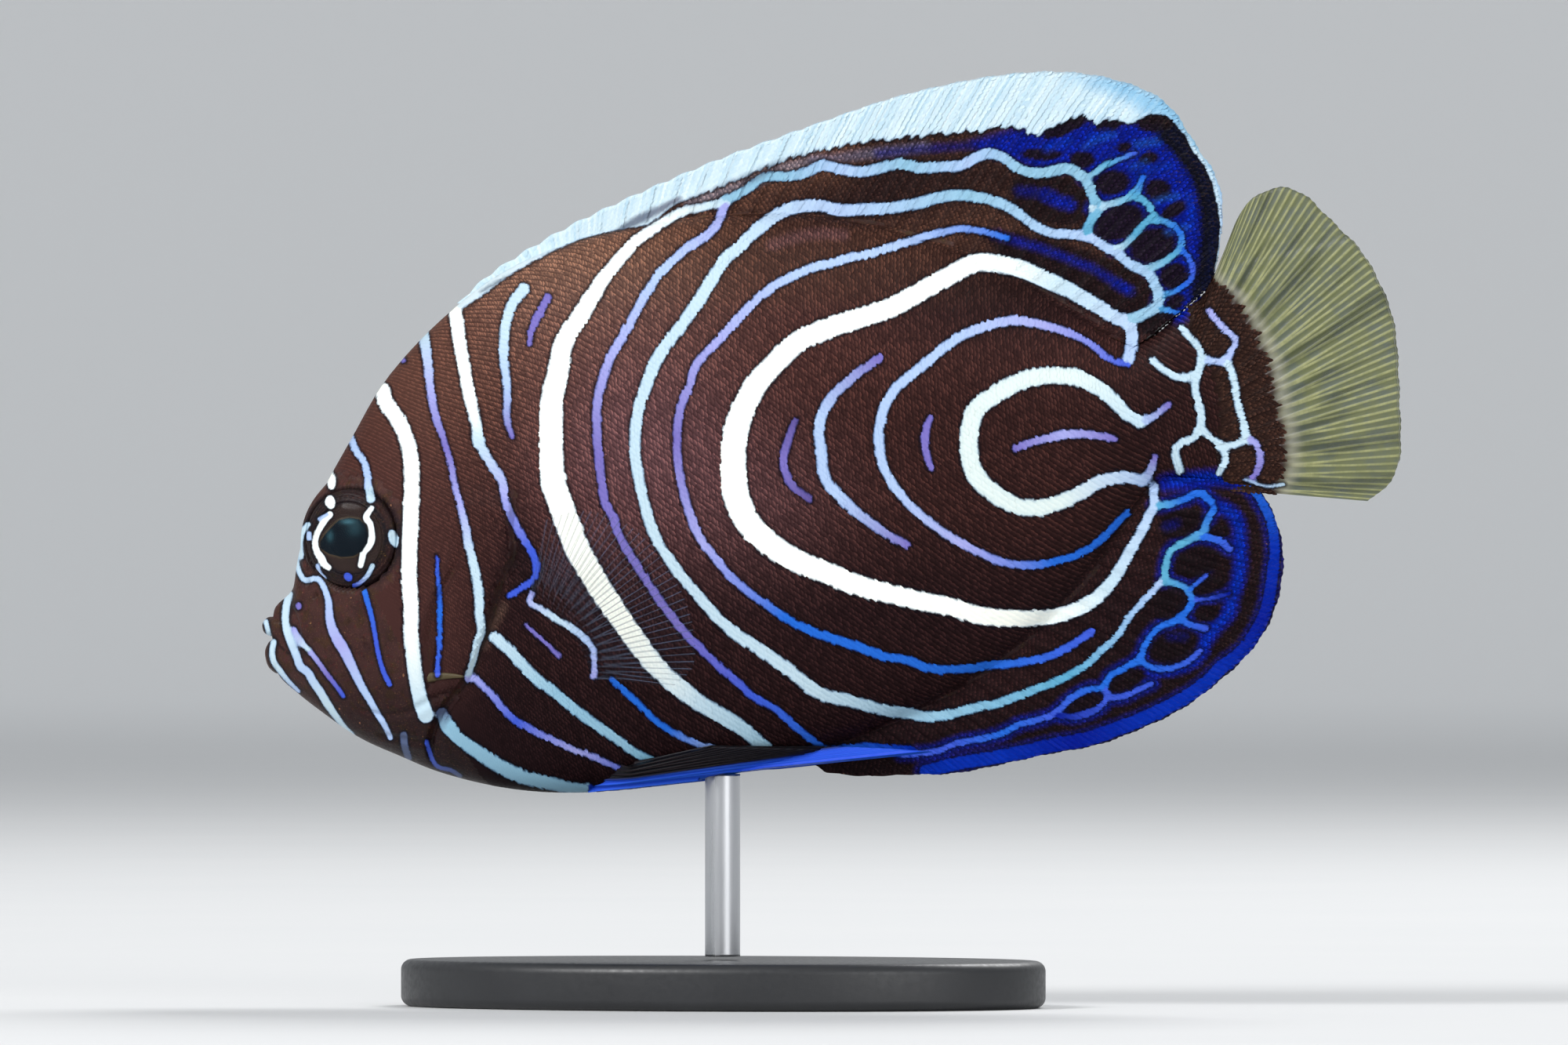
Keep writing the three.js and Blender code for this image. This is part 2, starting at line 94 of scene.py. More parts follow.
# Lines that shape the head, drawn from the side
GILL_EDGE = [[25.6, 7.4], [25.0, 5.4], [24.4, 3.6], [24.3, 1.8], [22.7, -0.3], [20.8, -3.6], [19.0, -6.2],
             [17.6, -7.8], [14.9, -9.8], [12.8, -12.2], [11.9, -14.4]]
CHEEK_RIDGE = [[19.4, 4.2], [18.6, 2.0], [16.4, -0.6], [14.9, -3.6], [14.3, -7.1]]
LOWER_CHEEK_FOLD = [[17.8, -8.5], [14.6, -8.9], [12.0, -9.5], [9.0, -9.2], [6.6, -7.9]]
THROAT_FOLD = [[13.6, -12.6], [10.6, -11.6], [8.0, -10.6]]
MOUTH_FOLD = [[2.7, 1.6], [3.3, 0.2], [3.2, -1.4], [2.4, -2.6]]
CHEEK_SPINE = [[14.3, -7.1], [17.9, -7.8]]
NOSTRILS = [[5.2, 3.0], [5.7, 1.8]]
EYE_CENTRE = [10.2, 5.9]
EYE_RADIUS = 4.1
EYE_SINK = 0.85
EYE_HALF_THICKNESS = 1.9
EYE_AHEAD = math.radians(8)
IRIS_RADIUS = 3.12
SOCKET_RADIUS = 4.16
# Lips: front x, front z, corner x, corner z, corner y, half depth, half height
UPPER_LIP = [0.15, 0.32, 2.4, -0.1, 1.85, 0.88, 0.9]
LOWER_LIP = [-0.05, -2.3, 2.2, -1.9, 1.7, 0.95, 1.5]

# Fins, drawn from the side. The edges of the dorsal, anal and tail fins follow the photo more closely
# than the solids do.
DORSAL_SPAN = [0.446, 0.878]
DORSAL_EDGE = [[22.0, 23.9], [23.3, 24.7], [24.7, 25.5], [26.3, 26.2], [29.5, 27.3], [34.1, 28.6],
               [45.9, 30.9], [55.2, 32.1], [64.5, 33.0], [74.1, 32.7],
               [80.0, 31.4], [84.2, 29.4], [86.0, 28.0], [87.1, 26.5], [87.9, 24.5], [88.6, 22.7],
               [89.4, 20.7], [89.6, 18.5], [89.0, 15.8], [88.1, 13.4], [87.3, 11.6]]
DORSAL_SPINES = 14
DORSAL_RAYS = 34
ANAL_SPAN = [0.6, 0.886]
ANAL_EDGE = [[45.6, -22.0], [48.4, -22.9], [52.7, -23.7], [56.6, -24.4], [64.8, -24.5], [69.5, -24.6],
             [73.1, -24.1], [77.0, -23.2], [80.3, -21.8], [83.5, -20.0], [86.0, -17.8], [87.7, -15.0],
             [88.6, -11.9], [88.5, -8.9], [87.6, -5.8]]
ANAL_SPINES = 3
ANAL_RAYS = 23
TAIL_ROOT = [[84.9, 9.9], [84.9, -5.75]]
TAIL_EDGE = [[88.1, 11.2], [89.2, 13.8], [90.4, 16.3], [91.8, 17.7], [93.5, 18.3], [95.3, 18.2],
             [96.9, 17.0], [98.2, 15.1], [99.3, 13.5], [100.5, 11.5], [101.4, 8.8], [101.9, 6.2],
             [101.9, 4.0], [101.5, 1.0], [101.0, -1.9], [100.5, -4.8], [99.8, -7.0], [98.4, -8.5],
             [96.6, -9.25]]
TAIL_RAYS = 17
PECTORAL_ROOT = [[25.5, -2.2], [27.6, -5.2], [28.9, -10.0]]
PECTORAL_EDGE = [[28.6, 3.6], [32.6, 3.6], [36.4, 1.2], [38.6, -2.8], [39.4, -7.4], [38.6, -11.2],
                 [36.4, -12.6]]
PECTORAL_SWING = 3.4
PECTORAL_RAYS = 19
PELVIC_ROOT = [[25.2, -19.0], [28.6, -18.0]]
PELVIC_EDGE = [[55.4, -22.2], [49.5, -20.6], [44.0, -19.4], [37.5, -17.9]]
PELVIC_RAYS = 6
PELVIC_SPREAD = [2.3, 1.5]

# Colours as the eye reads them in the photo, 0 to 255
COLOURS = {
    "cream": (250, 251, 240),
    "ice": (187, 210, 222),
    "mist": (168, 190, 224),
    "cyan": (88, 160, 192),
    "periwinkle": (158, 160, 216),
    "violet": (118, 108, 180),
    "blue": (62, 88, 200),
    "deep": (2, 24, 134),
    "royal": (2, 42, 156),
    "azure": (36, 102, 204),
    "sky": (140, 188, 216),
    "fawn": (138, 110, 94),
    "plum": (112, 80, 86),
    "smoke": (116, 108, 118),
    "veil": (92, 88, 108),
    "slate": (70, 84, 104),
    "copper": (119, 82, 64),
    "chestnut": (76, 47, 43),
    "umber": (58, 34, 31),
    "sepia": (36, 20, 21),
    "soot": (20, 11, 15),
    "ink": (7, 7, 16),
    "navy": (6, 14, 92),
    "olive": (102, 107, 70),
    "straw": (160, 160, 112),
    "horn": (80, 70, 50),
    "tan": (150, 104, 74),
    "iris": (38, 29, 27),
    "iris_edge": (30, 22, 24),
    "pupil": (2, 12, 21),
    "teal_reflection": (58, 104, 118),
    "grey_blue": (80, 92, 122),
    "haze": (140, 182, 204),
    "milk": (208, 222, 220),
    "bark": (46, 30, 25),
    "heather": (92, 80, 140),
    "frost": (206, 222, 229),
    "midnight": (5, 9, 28),
}


def path(text):
    """Points from a line of x,y pairs."""
    return np.array([[float(v) for v in pair.split(",")] for pair in text.split()])


# Markings of the left side, traced in photo pixels: colours and widths from one end to
# the other, then the middle line.
STRIPES = {
    "brow": (["mist"], [7], "447,557 454,575 464,589 469,607 469,619"),
    "brow_dots": (["ice"], [8, 10], "471,625 473,636"),
    "cheek_band": (["cream", "cream", "cream", "ice"], [18, 19, 18, 17],
                   "488,498 492,513 506,533 516,554 523,578 525,601 525,625 524,654 523,684 522,713 522,743 "
                   "524,777 524,808 526,828 529,854 533,879 537,896"),
    "cheek_band_foot": (["ice"], [17, 19], "540,904 543,912"),
    "gill_line": (["ice", "periwinkle", "violet", "periwinkle", "ice", "ice", "ice"],
                  [12, 9, 6, 7, 10, 10, 6],
                  "540,426 543,445 546,468 548,489 551,510 557,536 565,557 571,578 577,601 581,622 587,645 "
                  "593,669 597,693 603,716 608,740 611,761 611,782 614,803 608,823 603,844 597,859"),
    "nape_band": (["cream", "cream", "cream", "ice"], [16, 15, 14, 12],
                  "579,388 582,406 585,427 588,448 593,474 597,498 603,521 607,542 610,563"),
    "nape_hook": (["ice", "periwinkle", "blue", "blue"], [11, 9, 8, 6],
                  "610,563 618,578 628,595 640,613 644,634 650,654 659,672 669,690 680,707 684,722 681,737 "
                  "671,746 659,754 650,760"),
    "nape_line": (["ice", "ice", "mist", "violet"], [13, 11, 9, 5],
                  "668,368 653,389 646,409 643,433 643,460 646,483 647,507 646,527 649,545 653,557"),
    "nape_stub": (["violet"], [9, 8, 5], "698,380 686,404 678,421 675,439"),
    "brow_fleck": (["violet"], [6, 4], "509,451 515,460"),
    "snout_line": (["ice", "ice", "mist", "ice", "ice"], [8, 8, 9, 9, 3],
                   "369,758 365,774 364,790 366,805 371,820 378,836 383,850 393,858 399,869 408,882 417,897 "
                   "428,913 438,926 451,938"),
    "mouth_corner": (["periwinkle", "ice"], [5, 8, 4], "375,803 383,818 393,828"),
    "chin_line": (["periwinkle", "violet", "blue"], [5, 4.6, 4], "397,833 407,846 417,860 428,874 438,888"),
    "snout_dot": (["violet"], [6, 6], "381,772 381,774"),
    "upper_lip_mark": (["ice"], [5, 4], "339,793 343,810"),
    "lower_lip_line": (["ice", "ice", "mist"], [6, 6, 3], "349,819 347,831 349,844 356,854 366,867 381,882"),
    "eye_to_throat": (["ice", "mist", "periwinkle", "mist", "mist"], [5, 6, 13, 8, 5],
                      "378,715 381,728 389,740 405,738 414,751 419,767 420,785 423,800 430,815 438,828 "
                      "446,844 453,859 462,877 471,892 481,910 490,924 498,941"),
    "cheek_dash": (["azure", "blue", "blue"], [6, 4, 5],
                   "465,754 469,769 474,787 478,808 481,826 485,844 490,859 497,873"),
    "cover_dash": (["blue", "azure", "blue"], [2, 5, 5],
                   "557,710 558,731 560,751 561,777 561,803 560,828 558,846 558,861"),
    "breast_line": (["periwinkle", "blue", "periwinkle", "blue"], [7, 8, 6, 6],
                    "597,867 605,865 615,874 628,887 640,902 656,918 674,928 692,938 707,945 733,957 760,967 "
                    "783,977 807,987 815,988"),
    "breast_band": (["ice", "haze", "haze", "cyan"], [13, 12, 10, 5],
                    "631,813 638,819 653,833 669,851 687,869 705,882 740,910 763,927 787,943 810,960 833,970 "
                    "857,975 880,980 893,982"),
    "breast_fleck": (["violet"], [3.6], "671,797 684,810 699,823 713,837"),
    "fin_root_line": (["periwinkle", "ice", "mist", "periwinkle"], [5, 7, 7, 6],
                      "679,757 675,768 687,775 707,788 727,800 743,812 755,827 758,843 757,863"),
    "throat_band": (["haze", "haze", "haze"], [14, 17, 12],
                    "571,925 579,936 594,949 610,960 628,972 646,982 664,990 684,996 705,1000 720,1004 "
                    "747,1007"),
    "throat_band_root": (["grey_blue", "haze"], [13, 14], "564,910 569,923 573,928"),
    "throat_smudge": (["grey_blue"], [8, 7], "515,938 516,951 521,967"),
    "throat_dash": (["blue", "grey_blue"], [4, 4], "544,946 548,959 553,972 560,979 574,982 587,990"),
    "belly_line": (["azure", "azure", "mist"], [6.5],
                   "780,867 797,882 817,900 837,920 860,935 887,948 910,955 927,963 937,975"),
    "belly_edge": (["royal", "azure", "azure", "royal"], [10, 12, 13, 13],
                   "750,1007 767,1010 800,1007 840,1002 880,997 920,990 960,983 993,978 1023,970 1050,962 "
                   "1080,957 1113,955 1140,958 1160,958"),
    "shoulder_band": (["ice", "cream", "cream", "cream", "cream", "cream", "ice", "haze"],
                      [8, 13, 22, 30, 31, 26, 20, 13],
                      "926,257 906,262 868,271 846,284 826,297 810,308 794,326 775,348 756,377 740,403 "
                      "728,420 721,432 715,451 712,474 706,498 703,521 702,545 702,569 703,592 706,616 "
                      "714,640 722,663 733,693 747,720 763,747 780,773 797,797 813,820 830,843 850,863 "
                      "873,883 897,900 920,913 943,927 963,943 983,960 1000,975"),
    "fin_foot_line": (["haze", "haze", "mist", "haze", "mist", "haze", "haze", "cyan"],
                      [9, 11, 12, 12, 11, 12, 10],
                      "926,255 945,246 961,235 971,227 993,225 1019,223 1035,217 1048,211 1076,217 "
                      "1102,219 1125,214 1147,209 1172,214 1198,213 1226,211 1249,199 1265,196 1284,204 "
                      "1297,214 1313,220 1339,219 1361,215 1377,223 1388,235 1393,249 1400,265 1390,284 "
                      "1385,300"),
    "second_line": (["periwinkle", "mist", "periwinkle", "violet", "violet", "violet", "blue", "azure"],
                    [10, 10, 9, 7],
                    "924,260 921,271 913,288 900,302 881,313 862,329 842,348 826,371 810,400 794,429 "
                    "778,457 768,486 762,513 761,539 762,569 766,602 772,642 782,660 788,680 803,707 "
                    "820,733 837,760 857,787 873,807 893,827 917,850 940,870 963,890 987,903 1007,920 "
                    "1027,937 1047,953 1057,960"),
    "pale_ring": (["mist", "cyan", "haze", "ice", "ice", "ice", "ice", "ice", "mist", "haze", "mist", "haze"],
                  [6, 8, 11, 15, 12, 12, 14, 14, 14, 12, 10, 12],
                  "1480,743 1469,755 1454,771 1441,786 1432,801 1420,817 1405,829 1389,845 1371,857 "
                  "1346,869 1318,880 1297,888 1272,897 1241,903 1211,911 1180,914 1160,910 1133,907 "
                  "1107,900 1080,893 1053,887 1033,877 1013,860 990,843 967,827 940,810 917,790 893,763 "
                  "873,740 853,713 837,687 827,660 815,612 810,572 812,533 825,489 839,457 858,429 878,403 "
                  "897,374 913,348 929,326 945,313 964,294 984,279 1003,268 1025,263 1048,263 1070,268 "
                  "1092,268 1137,265 1172,259 1198,252 1223,249 1249,252 1275,259 1297,271 1320,288 "
                  "1339,297 1364,299 1387,302 1406,313 1425,323 1444,339 1464,348 1473,364 1478,380 "
                  "1473,393 1460,400 1441,408"),
    "blue_ring": (["blue", "azure", "azure", "azure", "periwinkle", "violet", "periwinkle", "mist", "mist",
                   "azure"],
                  [8, 9, 10, 9, 9, 9, 10, 9, 6],
                  "1392,806 1374,818 1355,829 1334,838 1303,845 1272,848 1241,852 1211,854 1180,851 "
                  "1160,843 1127,837 1100,827 1070,817 1040,807 1010,793 983,775 957,757 933,737 913,713 "
                  "893,687 881,659 868,612 863,566 868,519 880,490 888,465 903,448 916,435 932,416 951,396 "
                  "971,377 990,363 1012,352 1035,342 1060,336 1086,328 1112,323 1134,316 1159,308 1182,301 "
                  "1204,296 1223,292 1246,294 1268,299 1284,304"),
    "white_ring": (["mist", "ice", "cream", "cream", "cream", "cream", "cream", "cream", "cream", "ice",
                    "mist"],
                   [9, 14, 20, 23, 27, 34, 26, 24, 22, 19, 13],
                   "1472,620 1471,632 1472,645 1464,660 1454,681 1441,703 1429,725 1414,746 1395,765 "
                   "1371,778 1343,786 1309,789 1272,788 1241,783 1211,774 1180,768 1160,763 1133,757 "
                   "1107,750 1080,742 1053,730 1027,720 1000,707 975,689 952,663 938,629 934,598 936,564 "
                   "945,529 962,494 984,468 1019,435 1041,425 1064,416 1089,408 1115,400 1141,390 1166,377 "
                   "1188,364 1211,352 1226,343 1243,336 1262,335 1284,339 1307,345 1332,356 1358,368 "
                   "1380,380 1403,393 1422,405 1438,412 1443,425 1443,441 1440,457"),
    "ghost_arc": (["heather", "violet", "heather"], [6, 9, 7], "1014,537 1004,564 999,590 1008,616 1032,637"),
    "short_arc": (["violet", "mist", "mist", "violet"], [9, 12, 12, 8],
                  "1121,457 1088,481 1058,511 1045,542 1047,577 1053,611 1075,637 1105,663 1131,681 "
                  "1157,696"),
    "ghost_dash": (["violet"], [6, 9, 6], "1186,533 1179,555 1181,577 1188,598"),
    "fourth_ring": (["azure", "azure", "periwinkle", "mist", "mist", "mist", "periwinkle", "blue"],
                    [7, 8.6, 9, 11, 11, 10, 5],
                    "1438,654 1423,669 1408,685 1389,700 1365,711 1343,717 1318,721 1294,720 1269,714 "
                    "1245,703 1223,691 1201,678 1166,650 1140,620 1125,590 1121,555 1127,520 1144,494 "
                    "1175,468 1201,446 1223,430 1246,420 1268,413 1290,409 1313,411 1339,417 1364,425 "
                    "1380,432 1393,441 1406,451 1422,461 1438,464"),
    "inner_ring": (["mist", "milk", "milk", "milk", "milk", "ice"], [12, 18, 22, 22, 20, 13],
                   "1457,612 1435,609 1414,611 1395,618 1380,628 1358,638 1334,646 1309,648 1285,640 "
                   "1263,626 1248,611 1238,590 1236,555 1244,524 1270,503 1305,485 1340,479 1370,481 "
                   "1400,494 1412,503 1427,518 1439,530 1454,538"),
    "inner_ring_foot": (["violet", "mist"], [7, 9], "1473,583 1469,595 1464,608 1457,612"),
    "inner_ring_tick": (["mist", "violet"], [9, 6], "1454,538 1465,535 1477,527 1491,516"),
    "heart": (["violet", "periwinkle", "violet"], [8, 10, 7],
              "1296,572 1318,564 1344,557 1370,553 1396,555 1422,560"),
}
NETTING = {
    "fork": (["haze", "cyan", "blue"], [8, 6, 5], "1383,228 1392,223 1406,213 1425,204 1447,195"),
    "second_row": (["ice", "haze", "cyan", "azure"], [11, 8, 8, 9, 6],
                   "1394,266 1412,262 1430,256 1445,249 1454,236 1457,226"),
    "link": (["cyan"], [9, 8], "1448,250 1460,257 1468,267 1472,280"),
    "third_row": (["cyan", "cyan", "ice"], [8, 7, 8], "1470,276 1456,289 1445,302 1434,313 1420,318"),
    "outer_arc": (["cyan", "azure", "cyan", "haze"], [8, 7, 8, 10],
                  "1472,280 1490,284 1501,291 1507,302 1505,316 1494,327 1479,337 1464,343"),
    "rear_arc": (["azure", "blue", "azure", "cyan"], [6, 7, 6, 8],
                 "1507,318 1515,328 1521,342 1518,358 1502,369 1486,376 1478,380"),
    "rear_foot": (["cyan", "azure"], [7, 5], "1474,392 1486,395 1501,399"),
    "anal_first": (["cyan", "azure", "azure"], [9, 8, 10], "1473,645 1493,643 1514,635 1529,629 1545,640"),
    "anal_arc": (["azure", "cyan", "cyan"], [9, 9, 8, 9],
                 "1548,650 1541,662 1536,675 1529,683 1512,691 1494,702 1488,715 1485,738"),
    "anal_branch": (["azure", "blue"], [7, 9], "1529,683 1545,687 1557,691 1568,700"),
    "anal_third": (["cyan", "azure", "azure", "azure"], [8, 7, 9, 7, 8],
                   "1485,742 1506,747 1515,753 1520,766 1511,782 1503,790 1482,798 1472,806 1461,822 "
                   "1453,842"),
    "anal_twig": (["azure", "blue"], [5, 4], "1517,752 1528,742 1539,734"),
    "anal_twig_b": (["blue", "deep"], [4], "1521,766 1537,764 1552,761 1568,757"),
    "anal_twig_c": (["azure", "blue"], [7, 8], "1505,789 1522,798 1538,801"),
    "anal_long": (["azure", "azure", "blue", "azure", "blue", "blue"], [8, 7],
                  "1453,842 1434,852 1415,863 1407,876 1388,879 1370,888 1356,900 1343,911 1321,919 1300,924 "
                  "1281,934 1260,941 1235,945 1217,949 1198,957 1180,960 1150,962"),
    "anal_twig_d": (["azure", "blue"], [6, 7, 6], "1453,842 1471,852 1493,852 1514,844 1530,831"),
    "anal_twig_e": (["blue"], [6, 7, 5], "1408,878 1415,889 1434,888 1453,879 1469,872"),
    "anal_twig_f": (["deep", "blue"], [6, 8, 5], "1346,911 1370,914 1391,908 1407,898 1413,889"),
    "tail_a": (["ice"], [8], "1507,418 1519,432 1530,447 1533,459"),
    "tail_b": (["ice"], [9], "1470,460 1483,471 1501,481 1516,482 1526,477"),
    "tail_c": (["ice"], [10],
               "1533,459 1527,480 1524,497 1529,515 1532,533 1530,547 1522,559 1507,565 1499,574 1501,589 "
               "1505,600"),
    "tail_d": (["mist", "periwinkle"], [7],
               "1533,459 1545,460 1563,460 1572,444 1576,435 1566,423 1554,412 1542,397"),
    "tail_e": (["ice"], [8], "1563,460 1572,477 1576,500 1580,521 1586,541 1589,559"),
    "tail_f": (["ice"], [7], "1532,547 1545,559 1557,569 1563,580 1560,594 1555,603"),
    "tail_g": (["ice"], [7], "1557,569 1572,568 1586,562"),
    "tail_h": (["periwinkle", "violet"], [7], "1589,559 1601,565 1607,580 1606,594 1598,609"),
    "tail_edge": (["mist", "ice"], [1, 3], "1586,611 1600,616 1616,620 1637,618"),
}
ANAL_MARGIN = (["azure", "royal", "deep", "royal", "royal", "deep", "royal", "royal"],
               [8, 12, 15, 16, 17, 16, 14],
               "1584,610 1600,626 1612,645 1622,667 1626,699 1623,734 1616,774 1605,801 1586,829 1559,851 "
               "1530,878 1495,899 1462,915 1422,931 1381,944 1340,951 1303,960 1257,968 1217,975 1180,984")
WHITE_MARGIN = path(
    "560,395 600,360 640,325 740,260 900,190 1080,120 1250,90 1400,75 1500,110 1560,180 1590,260 1580,360 "
    "1549,361 1550,342 1555,316 1557,284 1553,259 1547,233 1537,211 1521,191 1512,172 1499,156 1486,145 "
    "1467,145 1451,153 1438,159 1435,151 1412,153 1396,156 1387,145 1361,151 1339,163 1323,171 1310,167 "
    "1297,163 1280,158 1260,165 1220,168 1180,171 1140,176 1100,180 1060,188 1020,197 976,213 940,229 "
    "900,245 862,259 826,286 780,294 740,304 700,322 650,350 610,380 578,400")
# Streaks in the dorsal fin's white margin, smoky at its foot: colours, widths and middle line, then,
# where they differ from the usual ones, the softness and strength
MARGIN_SMOKE = {
    "front": (["slate"], [3, 5, 4], "614,372 640,357 668,346 690,334"),
    "low": (["slate"], [3, 6, 5], "660,350 700,338 745,318 776,304"),
    "first": (["slate", "veil"], [4, 12, 6], "776,302 800,288 830,273 866,254"),
    "foot": (["smoke", "slate", "slate"], [5, 12, 8], "866,262 900,250 950,230 990,212 1036,199", 5.0, 0.8),
    "rear_top": (["frost", "sky", "sky"], [6, 22, 30], "1340,96 1430,112 1480,140", 12.0),
    "rear": (["sky", "sky", "mist", "ice"], [24, 12, 9, 6],
             "1490,132 1520,170 1546,208 1560,250 1561,293 1553,358"),
}
NET_GROUND = path("1240,182 1300,165 1380,155 1480,160 1530,210 1552,290 1545,380 1505,412 1482,402 "
                  "1478,372 1464,348 1430,322 1404,306 1393,285 1400,262 1390,236 1370,218 1330,218 "
                  "1290,203 1249,194")
# The dark islands between the pale lines of the dorsal fin, and the soft blue and smoky strokes in them
ISLANDS = (path("1290,228 1340,224 1366,229 1383,244 1390,265 1380,286 1358,290 1330,284 1290,268"),
           path("1240,292 1300,296 1345,308 1390,320 1440,342 1468,364 1472,386 1455,400 1430,402 1400,388 "
                "1350,356 1290,338"))
SMOKE = [
    ("smoke", 15, 0.8, "880,258 920,246 960,232 1000,215 1040,205"),
    ("veil", 12, 0.7, "1036,205 1080,200 1130,194 1180,187"),
    ("plum", 14, 0.3, "985,312 1010,304 1045,298 1075,300"),
    ("navy", 9, 0.8, "1120,196 1180,190 1240,186"),
    ("deep", 15, 0.9, "1334,249 1350,257 1364,261"),
    ("navy", 12, 0.8, "1300,244 1320,246 1340,252"),
    ("deep", 9, 0.7, "1268,299 1296,308 1330,318 1369,333 1394,343 1412,354 1434,367"),
    ("deep", 11, 0.8, "1424,362 1440,371"),
    ("azure", 8, 0.35, "1450,184 1476,180"),
    ("royal", 10, 0.8, "1392,176 1412,171"),
    ("royal", 9, 0.7, "1334,189 1364,180"),
    ("royal", 8, 0.7, "1454,222 1470,215 1490,212"),
    ("royal", 8, 0.7, "1515,250 1520,270 1519,290"),
    ("azure", 6, 0.25, "1384,187 1400,179 1420,172"),
    ("azure", 5, 0.25, "1444,214 1462,206"),
    ("azure", 6, 0.4, "1462,262 1476,256 1500,250"),
    ("azure", 6, 0.4, "1490,296 1512,290"),
    ("ink", 13, 0.9, "1480,170 1500,192 1518,216 1528,238 1534,265 1536,291 1534,316 1531,342 1523,372"),
    ("navy", 10, 0.7, "1488,672 1500,668"),
    ("navy", 10, 0.6, "1492,812 1510,812"),
    ("deep", 22, 0.9, "1486,616 1520,612 1560,610 1596,618"),
    ("royal", 9, 0.8, "1496,614 1530,608 1570,610"),
]
SUBMARGIN = path("1486,145 1499,156 1512,172 1521,191 1537,211 1547,233 1553,259 1557,284 1555,316 "
                 "1550,342 1546,375 1512,392 1525,368 1531,342 1534,316 1536,291 1534,265 1528,239 "
                 "1518,220 1502,198 1480,176")
ANAL_GROUND = path("1500,612 1590,606 1622,650 1630,720 1600,800 1540,860 1470,905 1380,935 1200,965 "
                   "1180,950 1300,910 1400,860 1450,800 1480,735 1478,660")
ANAL_WASH = ("1530,628 1547,643 1568,652 1579,667 1581,690 1582,715 1580,735 1571,764 1567,782 1549,801 "
             "1537,818 1527,838 1498,852 1470,853")
# Dark cells of the netted fins: centre x, y, half length, half height, rise to the right in degrees
CELLS = np.array([
    [1358, 161, 33, 11, 25], [1416, 159, 20, 9, 20], [1474, 157, 25, 12, 5], [1328, 197, 27, 8, 0],
    [1380, 204, 17, 11, 0], [1434, 188, 10, 6, 20], [1465, 202, 13, 8, 10], [1418, 233, 24, 17, 8],
    [1477, 242, 18, 14, 0], [1497, 268, 19, 9, 30], [1427, 284, 35, 23, 25], [1470, 313, 33, 23, 20],
    [1497, 352, 20, 17, 15], [1499, 385, 14, 9, 30], [1475, 412, 25, 14, 20],
    [1506, 667, 30, 19, 10], [1554, 678, 14, 9, 0], [1525, 717, 30, 21, 10], [1541, 745, 27, 13, 20],
    [1493, 769, 27, 20, 30], [1539, 782, 18, 12, 10], [1496, 825, 35, 23, 20], [1434, 868, 28, 14, 25],
    [1383, 897, 28, 12, 20],
])
# Broad shades of the ground: colour, centre x, y, reach along x, y, strength
# Partly painted light: the fawn and copper patches high on the nape are lighter, and the soot patches low on
# the head and at the belly darker, as light falls from above
SHADES = [
    ("fawn", 690, 325, 190, 105, 0.45),
    ("copper", 620, 460, 220, 120, 0.3),
    ("plum", 810, 560, 130, 140, 0.5),
    ("plum", 960, 640, 120, 90, 0.25),
    ("soot", 1330, 325, 210, 85, 0.8),
    ("soot", 1090, 256, 210, 52, 0.85),
    ("sepia", 1010, 335, 220, 70, 0.5),
    ("soot", 560, 905, 260, 60, 0.5),
    ("soot", 1300, 950, 340, 70, 0.5),
    ("soot", 600, 660, 60, 60, 0.2),
    ("soot", 1290, 560, 240, 190, 0.35),
    ("soot", 1290, 385, 170, 60, 0.6),
    ("soot", 1190, 720, 260, 90, 0.3),
    ("sepia", 1000, 300, 150, 60, 0.4),
]
# The ground colour down the photo: the height in pixels and the colour there
# Darker towards the belly: partly the fish's own colour and partly painted shade, as light falls from above
GROUND_TONES = [(80, "copper"), (300, "copper"), (400, "chestnut"), (520, "umber"), (660, "umber"),
                (780, "sepia"), (900, "sepia"), (1040, "soot")]
# Soft strokes on the gill cover and the mouth: colour, width, middle line, softness, strength
HEAD_STROKES = [
    ("fawn", 9, "641,775 633,790 625,806 618,822", 8, 0.22),
    # The two ink strokes are painted shade in the mouth's gap between the lips
    ("ink", 2.4, "337,811 345,814 352,819 360,827 368,834", 1.6, 0.95),
    ("ink", 5, "330,800 345,812 352,818", 3, 0.5),
]
# The tail fin's scaled base ends in this jagged line, and its membrane is clear beyond
TAIL_BASE_EDGE = path("1537,346 1547,357 1557,366 1569,373 1583,394 1601,423 1613,450 1622,480 1628,515 "
                      "1635,544 1639,574 1639,600 1628,618")
# Windows of the photo that are drawn: left, top, right, bottom
FISH_WINDOW = (318, 80, 1810, 1040)
TAIL_WINDOW = (1440, 200, 1810, 680)
EYE_WINDOW = (370, 590, 530, 770)
# Middles of the eye, of its socket and of the pectoral fin's root, in photo pixels
EYE_PIXEL = (447, 686)
SOCKET_PIXEL = (449, 686)
SOCKET_PIXELS = 62
PECTORAL_PIXEL = (668, 715)
EYE_STRIPES = {
    "upper_drop": (["cream"], [2, 8, 10, 8], "423,603 423,610 423,616 423,620"),
    "upper_dot": (["cream"], [9, 12, 9], "421,637 421,640 422,644"),
    "front_fork": (["mist"], [6, 4], "420,657 408,662"),
    "front_line": (["cream"], [6, 7, 6, 6, 7, 9, 6],
                   "421,656 414,664 409,672 404,682 402,694 404,703 409,711 414,720 419,724"),
    "rear_line": (["cream"], [5, 7, 6, 8, 7, 6],
                  "474,648 467,660 472,668 474,678 474,688 470,697 464,704 462,712 460,721"),
    "low_front": (["mist"], [4], "405,722 408,731 414,738"),
    "low_arc": (["ice", "mist", "blue"], [5, 4, 4], "475,722 468,735 458,744 452,747"),
    "low_spot": (["blue"], [8, 8], "443,735 445,737"),
    "outer_front": (["ice"], [5, 8, 6], "393,669 384,681 382,694 384,710"),
    "front_spot": (["mist"], [5, 6], "394,681 394,686"),
    "rear_spot": (["ice"], [9, 12, 6], "500,681 502,687 505,695"),
}
